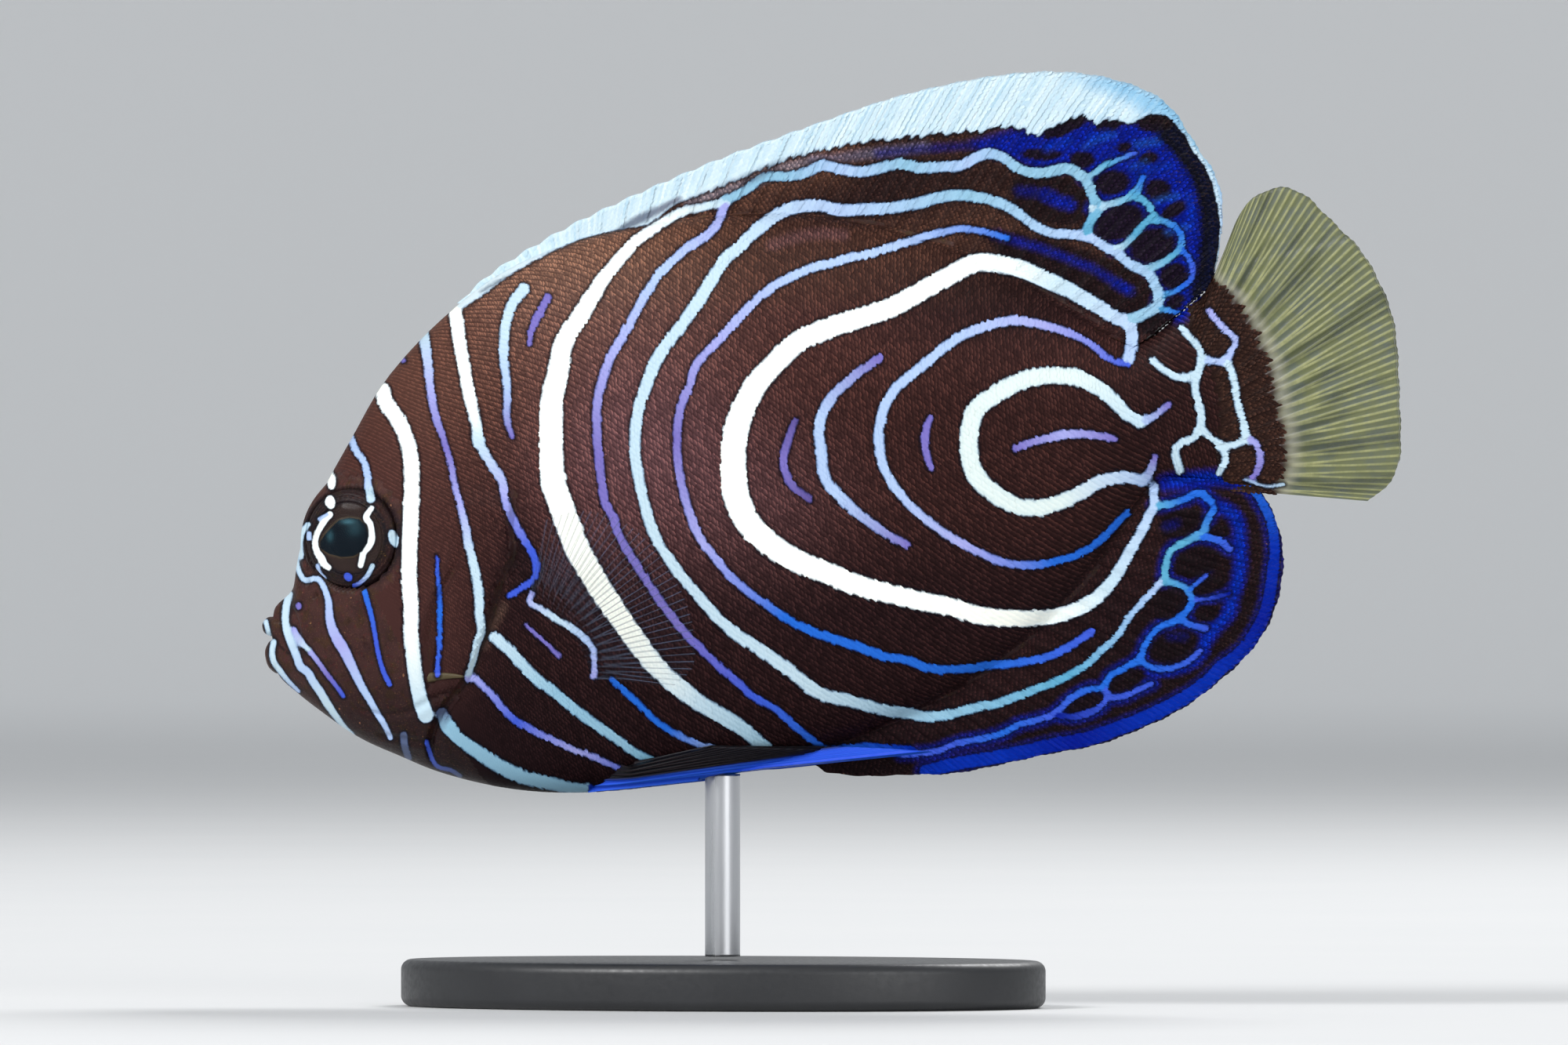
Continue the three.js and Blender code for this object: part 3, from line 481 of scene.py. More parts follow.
PUPIL = path("425,671 433,664 446,661 458,663 466,670 469,681 468,692 461,703 450,709 436,710 420,706 "
             "409,699 409,691 415,682")


def unit(vectors):
    return vectors / np.maximum(np.linalg.norm(vectors, axis=-1, keepdims=True), 1e-12)


def smoothstep(low, high, value):
    share = np.clip((value - low) / (high - low), 0, 1)
    return share * share * (3 - 2 * share)


def smooth_max(a, b, width):
    near = np.clip(1 - np.abs(a - b) / width, 0, 1)
    return np.maximum(a, b) + near * near * width / 4


def bell(distance, width):
    return np.exp(-((distance / width) ** 2))


def linear(name):
    """A named colour as linear light."""
    value = np.array(COLOURS[name]) / 255
    return np.where(value <= 0.04045, value / 12.92, ((value + 0.055) / 1.055) ** 2.4)


def level_to_row(points):
    """Points of the level fish, placed on the stand: still millimetres."""
    x, y, z = points[..., 0], points[..., 1], points[..., 2]
    cos, sin = math.cos(NOSE_DOWN), math.sin(NOSE_DOWN)
    return np.stack([x * cos - z * sin - ROD_FROM_SNOUT, y, x * sin + z * cos + SNOUT_HEIGHT], axis=-1)


def placed(points):
    return level_to_row(np.asarray(points, float)) * MM


def photo_pixels(points):
    """Where points of the level fish lie in the photo. The right side takes the left side's places."""
    mirrored = np.array(points, float)
    mirrored[..., 1] = -np.abs(mirrored[..., 1])
    offset = level_to_row(mirrored) - CAMERA_TARGET
    right = np.array([math.cos(CAMERA_AZIMUTH), math.sin(CAMERA_AZIMUTH), 0])
    back = np.array([math.sin(CAMERA_AZIMUTH), -math.cos(CAMERA_AZIMUTH), 0])
    scale = PIXELS_PER_MM * CAMERA_DISTANCE / (CAMERA_DISTANCE - offset @ back)
    return PHOTO_WIDTH / 2 + scale * (offset @ right), PHOTO_HEIGHT / 2 - scale * offset[..., 2]


class Curve:
    """A centripetal Catmull-Rom curve through its points, called with a share of their count."""

    def __init__(self, points):
        inner = np.asarray(points, float)
        self.knots = np.vstack([2 * inner[0] - inner[1], inner, 2 * inner[-1] - inner[-2]])
        self.pieces = len(inner) - 1
        self.shares = np.linspace(0, 1, 40 * self.pieces + 1)
        steps = np.linalg.norm(np.diff(self(self.shares), axis=0), axis=1)
        self.lengths = np.concatenate([[0], np.cumsum(steps)])

    def __call__(self, share):
        place = np.clip(share, 0, 1) * self.pieces
        first = np.minimum(place.astype(int), self.pieces - 1)
        w = (place - first)[..., None]
        a, b, c, d = (self.knots[first + k] for k in range(4))
        gap_a, gap_b, gap_c = (np.linalg.norm(q - p, axis=-1, keepdims=True) ** 0.5
                               for p, q in ((a, b), (b, c), (c, d)))
        leave = ((b - a) / gap_a - (c - a) / (gap_a + gap_b) + (c - b) / gap_b) * gap_b
        arrive = ((c - b) / gap_b - (d - b) / (gap_b + gap_c) + (d - c) / gap_c) * gap_b
        cubic = 2 * b - 2 * c + leave + arrive
        square = 3 * c - 3 * b - 2 * leave - arrive
        return b + w * (leave + w * (square + w * cubic))

    def at(self, share):
        """The point at a share of the curve's length."""
        return self(np.interp(np.asarray(share, float) * self.lengths[-1], self.lengths, self.shares))


class Body:
    """The fish's trunk and head as a loft over its sections."""

    STEPS = 3000

    def __init__(self):
        self.back_line = Curve(SECTIONS[:, :2])
        self.belly_line = Curve(SECTIONS[:, 2:4])
        self.width_line = Curve(np.stack([np.arange(len(SECTIONS)), SECTIONS[:, 4]], axis=1))
        self.table = self.sections(np.linspace(0, 1, self.STEPS + 1))

    def sections(self, t):
        back, belly = self.back_line(t), self.belly_line(t)
        reach = np.linalg.norm(back - belly, axis=-1)
        return (back + belly) / 2, (back - belly) / reach[..., None], reach / 2, self.width_line(t)[..., 1]

    def point(self, t, angle, grow=0.0):
        middle, up, half_height, half_width = self.sections(t)
        sine = np.sin(angle)
        side = np.sign(sine) * np.abs(sine) ** SECTION_FULLNESS
        out = middle + up * ((half_height + grow) * np.cos(angle))[..., None]
        return np.stack([out[..., 0], (half_width + grow) * side, out[..., 1]], axis=-1)

    def half_width(self, x, z):
        """Half the width at a place seen from the side, falling below zero outside the outline."""
        middle, up, half_height, half_width = self.table
        low = np.zeros(np.shape(x), int)
        high = np.full(np.shape(x), self.STEPS)
        for _ in range(12):
            mid = (low + high) // 2
            ahead = (x - middle[mid, 0]) * up[mid, 1] - (z - middle[mid, 1]) * up[mid, 0]
            low = np.where(ahead > 0, mid, low)
            high = np.where(ahead > 0, high, mid)
        rise = (x - middle[high, 0]) * up[high, 0] + (z - middle[high, 1]) * up[high, 1]
        level = rise / half_height[high]
        inside = half_width[high] * np.clip(1 - level**2, 0, 1) ** (SECTION_FULLNESS / 2)
        return np.where(np.abs(level) < 1, inside, -(np.abs(level) - 1) * half_height[high])


body = Body()


class Line:
    """Distances from points to a smooth line drawn from the side."""

    def __init__(self, points, steps=40):
        self.line = Curve(points).at(np.linspace(0, 1, steps + 1))

    def measure(self, x, z):
        """How far each place is, how far ahead of the line it is, and its share along the line."""
        a, b = self.line[:-1], self.line[1:]
        run = b - a
        offset = np.stack([x, z], axis=-1)[:, None, :] - a
        share = np.clip((offset * run).sum(-1) / (run * run).sum(-1), 0, 1)
        away = offset - share[..., None] * run
        distance = np.linalg.norm(away, axis=-1)
        best = distance.argmin(axis=1)
        rows = np.arange(len(best))
        side = run[best, 0] * offset[rows, best, 1] - run[best, 1] * offset[rows, best, 0]
        nearest = distance[rows, best]
        return nearest, -np.sign(side) * nearest, (best + share[rows, best]) / len(a)


def from_segment(x, y, start, end):
    """How far places are from the straight line between two points, and their share along it."""
    run = end - start
    share = np.clip(((x - start[0]) * run[0] + (y - start[1]) * run[1]) / max(run @ run, 1e-9), 0, 1)
    return np.hypot(x - start[0] - share * run[0], y - start[1] - share * run[1]), share


class Field:
    """A drawing of the markings over a window of the photo: how far each place is from a mark's edge, in
    pixels and negative inside it, the colour of the nearest mark, and the ground colour under it."""

    REACH = 14.0

    def __init__(self, left, top, right, bottom, step=1.0):
        self.left, self.top, self.step = left, top, step
        self.x = np.arange(left, right, step)
        self.y = np.arange(top, bottom, step)
        shape = (len(self.y), len(self.x))
        self.edge = np.full(shape, self.REACH)
        self.paint = np.zeros(shape + (3,))
        self.paint[:] = linear("mist")
        self.ground = np.zeros(shape + (3,))

    def window(self, points, reach):
        low = (points.min(0) - reach - [self.left, self.top]) / self.step
        high = (points.max(0) + reach - [self.left, self.top]) / self.step
        rows = slice(max(0, int(low[1])), max(0, int(high[1]) + 2))
        columns = slice(max(0, int(low[0])), max(0, int(high[0]) + 2))
        return rows, columns, self.x[columns][None, :], self.y[rows][:, None]

    def segments(self, text, widths, names):
        """The points of a stroke's middle line, with half the width and the colour at each of them."""
        points = path(text)
        curve = Curve(points)
        count = max(1, int(curve.lengths[-1] / (5 * self.step)))
        shares = np.linspace(0, 1, count + 1)
        line = curve.at(shares)
        wide = np.interp(shares, np.linspace(0, 1, len(widths)), widths)
        tones = np.array([linear(name) for name in names])
        stops = np.linspace(0, 1, len(names))
        colour = np.stack([np.interp(shares, stops, tones[:, k]) for k in range(3)], axis=1)
        return line, wide / 2, colour

    def stroke_distance(self, line, half):
        """Yields a window, the distances to one step of the line less its half width, and the share there."""
        for i in range(len(line) - 1):
            ends = line[i:i + 2]
            rows, columns, x, y = self.window(ends, self.REACH + half[i])
            distance, share = from_segment(x, y, *ends)
            yield i, rows, columns, distance - (half[i] * (1 - share) + half[i + 1] * share), share

    def stroke(self, names, widths, text, join=7.0):
        """Adds one mark. Where it meets another, the corner between them is filled to a soft round."""
        line, half, colour = self.segments(text, widths, names)
        alone = np.full(self.edge.shape, self.REACH)
        for i, rows, columns, distance, share in self.stroke_distance(line, half):
            nearer = distance < alone[rows, columns]
            alone[rows, columns][nearer] = distance[nearer]
            painted = nearer & (distance < self.edge[rows, columns])
            tone = colour[i] * (1 - share[..., None]) + colour[i + 1] * share[..., None]
            self.paint[rows, columns][painted] = tone[painted]
        rows, columns, _, _ = self.window(line, self.REACH)
        self.edge[rows, columns] = -smooth_max(-self.edge[rows, columns], -alone[rows, columns], join)

    def tint(self, names, widths, text, soft=3.0, strength=0.85):
        """Paints over the marks that are there already, with soft borders."""
        line, half, colour = self.segments(text, widths, names)
        amount = np.zeros(self.edge.shape)
        tone = np.zeros(self.paint.shape)
        for i, rows, columns, distance, _ in self.stroke_distance(line, half):
            here = strength * smoothstep(soft, -soft, distance)
            more = here > amount[rows, columns]
            amount[rows, columns][more] = here[more]
            tone[rows, columns][more] = colour[i]
        self.paint = self.paint * (1 - amount[..., None]) + tone * amount[..., None]

    def outline_distance(self, outline):
        rows, columns, x, y = self.window(outline, self.REACH + 20)
        nearest = np.full(np.broadcast(x, y).shape, 1e9)
        inside = np.zeros(nearest.shape, bool)
        for a, b in zip(outline, np.roll(outline, -1, axis=0)):
            nearest = np.minimum(nearest, from_segment(x, y, a, b)[0])
            if a[1] != b[1]:
                crossing = a[0] + (y - a[1]) * (b[0] - a[0]) / (b[1] - a[1])
                inside ^= ((a[1] > y) != (b[1] > y)) & (x < crossing)
        return rows, columns, np.where(inside, -nearest, nearest)

    def fill(self, name, outline):
        rows, columns, distance = self.outline_distance(outline)
        nearer = distance < self.edge[rows, columns]
        self.edge[rows, columns][nearer] = distance[nearer]
        self.paint[rows, columns][nearer] = linear(name)

    def shade(self, name, rows, columns, amount):
        amount = amount[..., None]
        self.ground[rows, columns] = self.ground[rows, columns] * (1 - amount) + linear(name) * amount

    def shade_all(self, name, amount):
        self.shade(name, slice(None), slice(None), amount)

    def wash(self, name, outline, soft, strength=1.0):
        rows, columns, distance = self.outline_distance(outline)
        self.shade(name, rows, columns, strength * smoothstep(soft, -soft, distance))

    def soft_stroke(self, name, width, text, soft, strength=1.0):
        line, half, _ = self.segments(text, [width], [name])
        amount = np.zeros(self.edge.shape)
        for _, rows, columns, distance, _ in self.stroke_distance(line, half):
            here = strength * smoothstep(soft, -soft, distance)
            amount[rows, columns] = np.maximum(amount[rows, columns], here)
        self.shade_all(name, amount)

    def sample(self, points):
        """Edge, paint and ground at points of the level fish."""
        px, py = photo_pixels(points)
        u = np.clip((px - self.left) / self.step, 0, len(self.x) - 1.001)
        v = np.clip((py - self.top) / self.step, 0, len(self.y) - 1.001)
        i, j = u.astype(int), v.astype(int)
        fu, fv = u - i, v - j

        def mixed(grid):
            if grid.ndim == 3:
                a, b = fu[..., None], fv[..., None]
            else:
                a, b = fu, fv
            top = grid[j, i] * (1 - a) + grid[j, i + 1] * a
            low = grid[j + 1, i] * (1 - a) + grid[j + 1, i + 1] * a
            return top * (1 - b) + low * b

        return mixed(self.edge), mixed(self.paint), mixed(self.ground)


def feathered(outline, first_x, last_x, reach):
    """An outline whose lower side, drawn from right to left, goes in and out along the fin's rays."""
    found = []
    for a, b in zip(outline, np.roll(outline, -1, axis=0)):
        lower = b[0] < a[0] and first_x < b[0] < last_x
        steps = int(np.hypot(*(b - a)) / 3.5) + 1 if lower else 1
        points = a + (b - a) * (np.arange(steps) / steps)[:, None]
        x = points[:, :1]
        wave = 0.5 * np.sin(0.42 * x) + 0.3 * np.sin(0.97 * x + 1) + 0.3 * np.sin(0.17 * x)
        found.append(points + lower * reach * wave * [0.6, -0.8])
    return np.concatenate(found)


def draw_markings():
    field = Field(*FISH_WINDOW)
    heights = [height for height, _ in GROUND_TONES]
    tones = np.array([linear(name) for _, name in GROUND_TONES])
    column = np.stack([np.interp(field.y, heights, tones[:, k]) for k in range(3)], axis=1)
    field.ground[:] = column[:, None, :]
    x, y = field.x[None, :], field.y[:, None]
    # The head is an even warm brown, and the fins are nearly black under their netting
    head = smoothstep(640, 560, x + 0 * y) * smoothstep(330, 520, y) * smoothstep(960, 860, y)
    field.shade_all("chestnut", 0.6 * head)
    fin_dark = smoothstep(1030, 1130, x + 0 * y) * smoothstep(300, 220, y - 0.25 * np.maximum(0, x - 1250))
    field.shade_all("soot", 0.85 * fin_dark)
    field.shade_all("soot", 0.5 * smoothstep(1380, 1520, x + 0.2 * y - 60))
    for name, x0, y0, wide, high, strength in SHADES:
        field.shade_all(name, strength * bell(np.hypot((x - x0) / wide, (y - y0) / high), 1.0))
    for island in ISLANDS:
        field.wash("soot", island, 5, 0.85)
    field.wash("navy", NET_GROUND, 6, 0.9)
    field.wash("deep", NET_GROUND, 10, 0.85)
    field.wash("soot", ANAL_GROUND, 14, 0.6)
    field.soft_stroke("deep", 18, ANAL_WASH, 6, 0.95)
    field.soft_stroke("royal", 8, ANAL_WASH, 5, 0.8)
    field.soft_stroke("deep", 24, ANAL_MARGIN[2], 6, 0.8)
    for name, (_, widths, text) in NETTING.items():
        if not name.startswith("tail"):
            field.soft_stroke("deep", max(widths) + 9, text, 6, 0.85)
            field.soft_stroke("royal", max(widths) + 3, text, 4, 0.7)
    field.wash("midnight", SUBMARGIN, 3, 0.96)
    for x0, y0, length, height, rise in CELLS:
        cos, sin = math.cos(math.radians(rise)), math.sin(math.radians(rise))
        along = (x - x0) * cos - (y - y0) * sin
        across = (x - x0) * sin + (y - y0) * cos
        ring = np.hypot(along / length, across / height)
        field.shade_all("soot", 0.97 * smoothstep(1.12, 0.82, ring))
    for name, width, strength, text in SMOKE:
        field.soft_stroke(name, width, text, 6, strength)
    for mark in HEAD_STROKES:
        field.soft_stroke(*mark)
    for names, widths, text in list(STRIPES.values()) + [ANAL_MARGIN]:
        field.stroke(names, widths, text)
    for names, widths, text in NETTING.values():
        field.stroke(names, 0.85 * np.array(widths), text, 5.0)
    for name in ("upper_drop", "outer_front", "rear_spot"):
        field.stroke(*EYE_STRIPES[name], 2.0)
    radius = np.hypot(x - SOCKET_PIXEL[0], y - SOCKET_PIXEL[1])
    field.shade_all("ink", 0.85 * bell(np.maximum(0, radius - SOCKET_PIXELS), 4.5))
    # Painted shade at the pectoral fin's root, under the rear edge of the gill cover
    radius = np.hypot((x - PECTORAL_PIXEL[0]) * 1.1, (y - PECTORAL_PIXEL[1]) * 0.5)
    field.shade_all("soot", 0.75 * bell(radius, 26))
    field.fill("frost", feathered(WHITE_MARGIN, 870, 1440, 6.0))
    for mark in MARGIN_SMOKE.values():
        field.tint(*mark)
    return field


def draw_eye():
    field = Field(*EYE_WINDOW, 0.5)
    x, y = field.x[None, :], field.y[:, None]
    field.ground[:] = linear("iris_edge")
    radius = np.hypot((x - EYE_PIXEL[0]) * 1.04, y - EYE_PIXEL[1])
    field.shade_all("iris", smoothstep(50, 40, radius))
    field.shade_all("umber", 0.5 * bell(radius - 54, 5) * smoothstep(430, 480, x))
    field.shade_all("ink", 0.75 * bell(radius - 47, 2.5))
    for names, widths, text in list(EYE_STRIPES.values()) + [STRIPES["brow"], STRIPES["brow_dots"]]:
        field.stroke(names, widths, text, 2.0)
    rows, columns, distance = field.outline_distance(PUPIL)
    field.edge[rows, columns] = np.maximum(field.edge[rows, columns], 1.5 - distance)
    field.shade("pupil", rows, columns, smoothstep(1.6, 0.2, distance))
    field.shade("horn", rows, columns, 0.5 * bell(distance - 1.6, 0.9))
    # Painted reflections in the pupil: a soft teal highlight at its top and a fainter teal glow at its front
    # and middle
    field.shade_all("teal_reflection", 0.6 * bell(np.hypot((x - 444) / 2.6, (y - 665.5)), 3.2))
    field.shade_all("teal_reflection", 0.35 * bell(np.hypot((x - 421), (y - 684) / 1.6), 4))
    field.shade_all("teal_reflection", 0.18 * bell(np.hypot(x - 452, y - 674), 9))
    return field


def draw_tail():
    """The tail's own markings, so that the fins beside it lend it none."""
    field = Field(*TAIL_WINDOW)
    field.ground[:] = linear("bark")
    for name, (names, widths, text) in NETTING.items():
        if name.startswith("tail"):
            field.stroke(names, widths, text)
    return field


markings = draw_markings()
tail_markings = draw_tail()
eye_markings = draw_eye()


def grid_faces(rows, columns, closed_columns=False):
    """Triangles over a grid of points, row by row."""
    last = columns if closed_columns else columns - 1
    r, c = np.meshgrid(np.arange(rows - 1), np.arange(last), indexing="ij")
    a = r * columns + c
    b = r * columns + (c + 1) % columns
    d, e = a + columns, b + columns
    return np.concatenate([np.stack([a, b, e], -1).reshape(-1, 3), np.stack([a, e, d], -1).reshape(-1, 3)])


def fan(ring, centre):
    return np.stack([np.full(len(ring), centre), ring, np.roll(ring, -1)], axis=1)


def capped_faces(rows, columns):
    """Triangles over rings of points and over both ends, whose two centres come after the rings."""
    ring = np.arange(columns)
    first_end = fan(ring, rows * columns)[:, ::-1]
    last_end = fan((rows - 1) * columns + ring, rows * columns + 1)
    return np.concatenate([grid_faces(rows, columns, True), first_end, last_end])


class Shell:
    """A closed mesh in the making: points of the level fish, triangles, and values at the points. It
    turns its faces outwards, unless they are known to be."""

    def __init__(self, points, faces, faces_known=False, **values):
        self.points = np.asarray(points, float).reshape(-1, 3)
        self.faces = np.asarray(faces, int)
        self.values = {name: np.asarray(value, float) for name, value in values.items()}
        if not faces_known and self.volume() < 0:
            self.faces = self.faces[:, ::-1]

    def volume(self):
        """Six times the volume inside, negative where the faces look inwards."""
        corners = self.points[self.faces]
        return np.einsum("ij,ij->i", corners[:, 0], np.cross(corners[:, 1], corners[:, 2])).sum()

    def coloured(self, field, at=None):
        edge, paint, ground = field.sample(self.points if at is None else at)
        self.values.update(edge=edge, paint=paint, ground=ground)
        return self

    def mirrored(self):
        return Shell(self.points * [1, -1, 1], self.faces[:, ::-1], True, **self.values)


def joined(shells):
    """Several shells that carry the same values, as one."""
    starts = np.cumsum([0] + [len(shell.points) for shell in shells])
    points = np.concatenate([shell.points for shell in shells])
    faces = np.concatenate([shell.faces + start for shell, start in zip(shells, starts)])
    names = shells[0].values
    values = {name: np.concatenate([shell.values[name] for shell in shells]) for name in names}
    return Shell(points, faces, True, **values)


def on_side(shell, side):
    return shell if side == "left" else shell.mirrored()


def piece(name, shell, material, slot, nodes=(), in_fish=True, smooth=True):
    """Makes the object, hands it to the frame and hides the solids it stands for."""
    mesh = bpy.data.meshes.new(name)
    points = placed(shell.points) if in_fish else shell.points * MM
    count, faces = len(points), shell.faces
    mesh.vertices.add(count)
    mesh.vertices.foreach_set("co", points.astype(np.float32).ravel())
    mesh.loops.add(faces.size)
    mesh.loops.foreach_set("vertex_index", faces.astype(np.int32).ravel())
    mesh.polygons.add(len(faces))
    mesh.polygons.foreach_set("loop_start", np.arange(0, faces.size, 3, dtype=np.int32))
    mesh.polygons.foreach_set("use_smooth", np.full(len(faces), smooth))
    for key, value in shell.values.items():
        if key == "bake":
            layer = mesh.uv_layers.new(name="OFBake")
            layer.data.foreach_set("uv", value[faces.ravel()].astype(np.float32).ravel())
        elif value.ndim == 2:
            colour = np.concatenate([value, np.ones((count, 1))], axis=1)
            layer = mesh.attributes.new(key, "FLOAT_COLOR", "POINT")
            layer.data.foreach_set("color", colour.astype(np.float32).ravel())
        else:
            layer = mesh.attributes.new(key, "FLOAT", "POINT")
            layer.data.foreach_set("value", value.astype(np.float32))
    mesh.update()
    mesh.validate()
    thing = bpy.data.objects.new(name, mesh)
    bpy.context.scene.collection.objects.link(thing)
    mesh.materials.append(material)
    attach(thing, "root")
    if nodes:
        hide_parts(*nodes)


gill_edge = Line(GILL_EDGE)
cheek_ridge = Line(CHEEK_RIDGE)
lower_cheek = Line(LOWER_CHEEK_FOLD)
throat_fold = Line(THROAT_FOLD)
mouth_fold = Line(MOUTH_FOLD)

# The eye's own frame on the left side: its centre, and the ways out, ahead and up
EYE_OUT = np.array([-math.sin(EYE_AHEAD), -math.cos(EYE_AHEAD), 0.0])
EYE_FRONT = np.array([-math.cos(EYE_AHEAD), math.sin(EYE_AHEAD), 0.0])
EYE_UP = np.array([0.0, 0.0, 1.0])
eye_side = float(body.half_width(np.array([EYE_CENTRE[0]]), np.array([EYE_CENTRE[1]]))[0]) - EYE_SINK
EYE_MIDDLE = np.array([EYE_CENTRE[0], -eye_side, EYE_CENTRE[1]])
EYE_BALL = EYE_RADIUS / math.sqrt(1 - (EYE_SINK / EYE_HALF_THICKNESS) ** 2)


def dome(radius, wide, high):
    return high * np.sqrt(np.clip(1 - (radius / wide) ** 2, 0, 1))


def skin_relief(x, z):
    """How far the skin stands out from the plain body, by what the head carries there."""
    _, ahead, share = gill_edge.measure(x, z)
    live = smoothstep(0.0, 0.1, share) * smoothstep(1.0, 0.92, share)
    plate = 0.3 * smoothstep(-0.1, 0.12, ahead) * bell(np.maximum(ahead, 0), 5.5)
    groove = -0.3 * bell(ahead + 0.28, 0.24) - 0.08 * bell(ahead + 0.9, 0.5)
    push = live * (plate + groove)
    distance, ahead, share = cheek_ridge.measure(x, z)
    live = smoothstep(1.6, 0.9, distance) * smoothstep(0.0, 0.25, share)
    push = push + live * (0.17 * bell(ahead, 0.3) - 0.2 * bell(ahead + 0.62, 0.26))
    for line, deep in ((lower_cheek, 0.2), (throat_fold, 0.14), (mouth_fold, 0.16)):
        distance, _, share = line.measure(x, z)
        live = smoothstep(0.0, 0.15, share) * smoothstep(1.0, 0.85, share)
        push = push + live * (0.07 * bell(distance - 0.55, 0.3) - deep * bell(distance, 0.22))
    for nostril in NOSTRILS:
        distance = np.hypot(x - nostril[0], z - nostril[1])
        push = push + 0.1 * bell(distance - 0.42, 0.13) - 0.42 * bell(distance, 0.24)
    return push - COAT_DEPTH


def in_socket(points):
    """Shapes the skin round the eye: a soft rim outside, a groove, and a bed under the eye itself."""
    on_left = points[..., 1:2] < 0
    offset = np.where(on_left, points, points * [1, -1, 1]) - EYE_MIDDLE
    height = offset @ EYE_OUT
    radius = np.linalg.norm(offset - height[..., None] * EYE_OUT, axis=-1)
    near = (radius < 6.5) & (height > -2.5)
    rim = dome(radius, EYE_BALL + 0.24, EYE_HALF_THICKNESS - 0.12)
    wanted = smooth_max(height, rim - 0.06, 0.25) - 0.14 * bell(radius - SOCKET_RADIUS - 0.1, 0.2)
    bed = dome(radius, EYE_BALL, EYE_HALF_THICKNESS) - 0.5
    wanted = np.where(radius < SOCKET_RADIUS + 0.16, bed, wanted)
    faded = height + (wanted - height) * smoothstep(6.0, 4.8, radius)
    wanted = np.where(radius > 4.8, faded, wanted)
    lift = np.where(near, wanted - height, 0)
    return points + lift[..., None] * np.where(on_left, EYE_OUT, EYE_OUT * [1, -1, 1])


def bare_surface(t, angle):
    """Points of the plain body and the ways straight out of it there."""
    step, turn_step = 4e-4, 2e-3
    points = body.point(t, angle)
    along = body.point(np.minimum(t + step, 1), angle) - body.point(np.maximum(t - step, 0), angle)
    around = body.point(t, angle + turn_step) - body.point(t, angle - turn_step)
    outward = unit(np.cross(along, around))
    middle = body.sections(t)[0]
    inside = np.stack([middle[..., 0], 0 * t, middle[..., 1]], axis=-1)
    outward *= np.sign(((points - inside) * outward).sum(-1, keepdims=True))
    return points, outward


def skin_surface(t, angle):
    """Points of the finished skin, at shares of the body's length and angles round its sections."""
    points, outward = bare_surface(t, angle)
    push = skin_relief(points[..., 0].ravel(), points[..., 2].ravel()).reshape(t.shape)
    return in_socket(points + outward * push[..., None])


def tube(line, ring, half_depth, half_height, crease=0.0):
    """A closed tapered tube along a line of points, with lengthwise creases."""
    run = unit(np.gradient(line, axis=0))
    side = unit(np.cross(run, [0.0, 0.0, 1.0]))
    up = np.cross(side, run)
    turn = np.linspace(0, 2 * math.pi, ring, endpoint=False)
    fold = 1 + crease * np.cos(7 * turn)
    points = (line[:, None] + side[:, None] * (half_depth[:, None] * np.cos(turn) * fold)[..., None]
              + up[:, None] * (half_height[:, None] * np.sin(turn) * fold)[..., None])
    ends = np.stack([line[0] - run[0] * half_depth[0] * 0.5, line[-1] + run[-1] * half_depth[-1] * 0.5])
    return Shell(np.concatenate([points.reshape(-1, 3), ends]), capped_faces(len(line), ring))


def lip(front_x, front_z, corner_x, corner_z, corner_y, half_depth, half_height):
    middle_x = front_x + 0.35 * (corner_x - front_x)
    middle_z = front_z + 0.35 * (corner_z - front_z)
    line = Curve([[corner_x, -corner_y, corner_z], [middle_x, -0.72 * corner_y, middle_z],
                  [front_x, 0, front_z], [middle_x, 0.72 * corner_y, middle_z],
                  [corner_x, corner_y, corner_z]])
    share = np.linspace(0, 1, 90)
    taper = 0.35 + 0.65 * np.sin(math.pi * (0.08 + 0.84 * share)) ** 0.7
    pleats = 1 + 0.035 * np.sin(share * 95)
    depth = (half_depth - COAT_DEPTH) * taper * pleats
    height = (half_height - COAT_DEPTH) * taper
    return tube(line.at(share), 40, depth, height, 0.012)


def thorn(start, end, radius, lift):
    """The cheek's spine on the left side, tapering to its tip."""
    share = np.linspace(0, 1, 24)
    x = start[0] + (end[0] - start[0]) * share
    z = start[1] + (end[1] - start[1]) * share + 0.12 * np.sin(math.pi * share)
    y = -body.half_width(x, z) - lift * share
    line = np.stack([x, y, z], axis=-1)
    taper = radius * (1 - 0.86 * share**1.3)
    return tube(line, 18, 0.7 * taper, taper, 0.05)


def make_skin():
    """One piece of body, lips, cheek spines and eye rings, with how fleshy each of them is."""
    # Fine rows over the head and wider ones behind it
    head_end, skin_end = 26, SECTIONS[-1, 0]
    ahead = np.concatenate([np.linspace(0.3, head_end, 178)[:-1], np.linspace(head_end, skin_end, 146)])
    t = np.interp(ahead, body.table[0][:, 0], np.linspace(0, 1, Body.STEPS + 1))
    t[0], t[-1] = 0, 1
    columns = 276
    angle = np.linspace(0, 2 * math.pi, columns, endpoint=False)
    points = skin_surface(*np.meshgrid(t, angle, indexing="ij"))
    caps = np.stack([points[0].mean(0), points[-1].mean(0)])
    trunk = Shell(np.concatenate([points.reshape(-1, 3), caps]), capped_faces(len(t), columns))
    spine = thorn(*CHEEK_SPINE, 0.44, 0.42)
    ring = eye_ring()
    parts = []
    for shape, flesh in ((trunk, 0.0), (lip(*UPPER_LIP), 0.06), (lip(*LOWER_LIP), 0.06), (spine, 1.0),
                         (ring, 0.0)):
        shape.values["flesh"] = np.full(len(shape.points), flesh)
        parts.append(shape)
        if shape in (spine, ring):
            parts.append(shape.mirrored())
    for part in parts:
        part.coloured(markings)
    for part in parts[-2:]:
        part.coloured(eye_markings)
    return joined(parts)


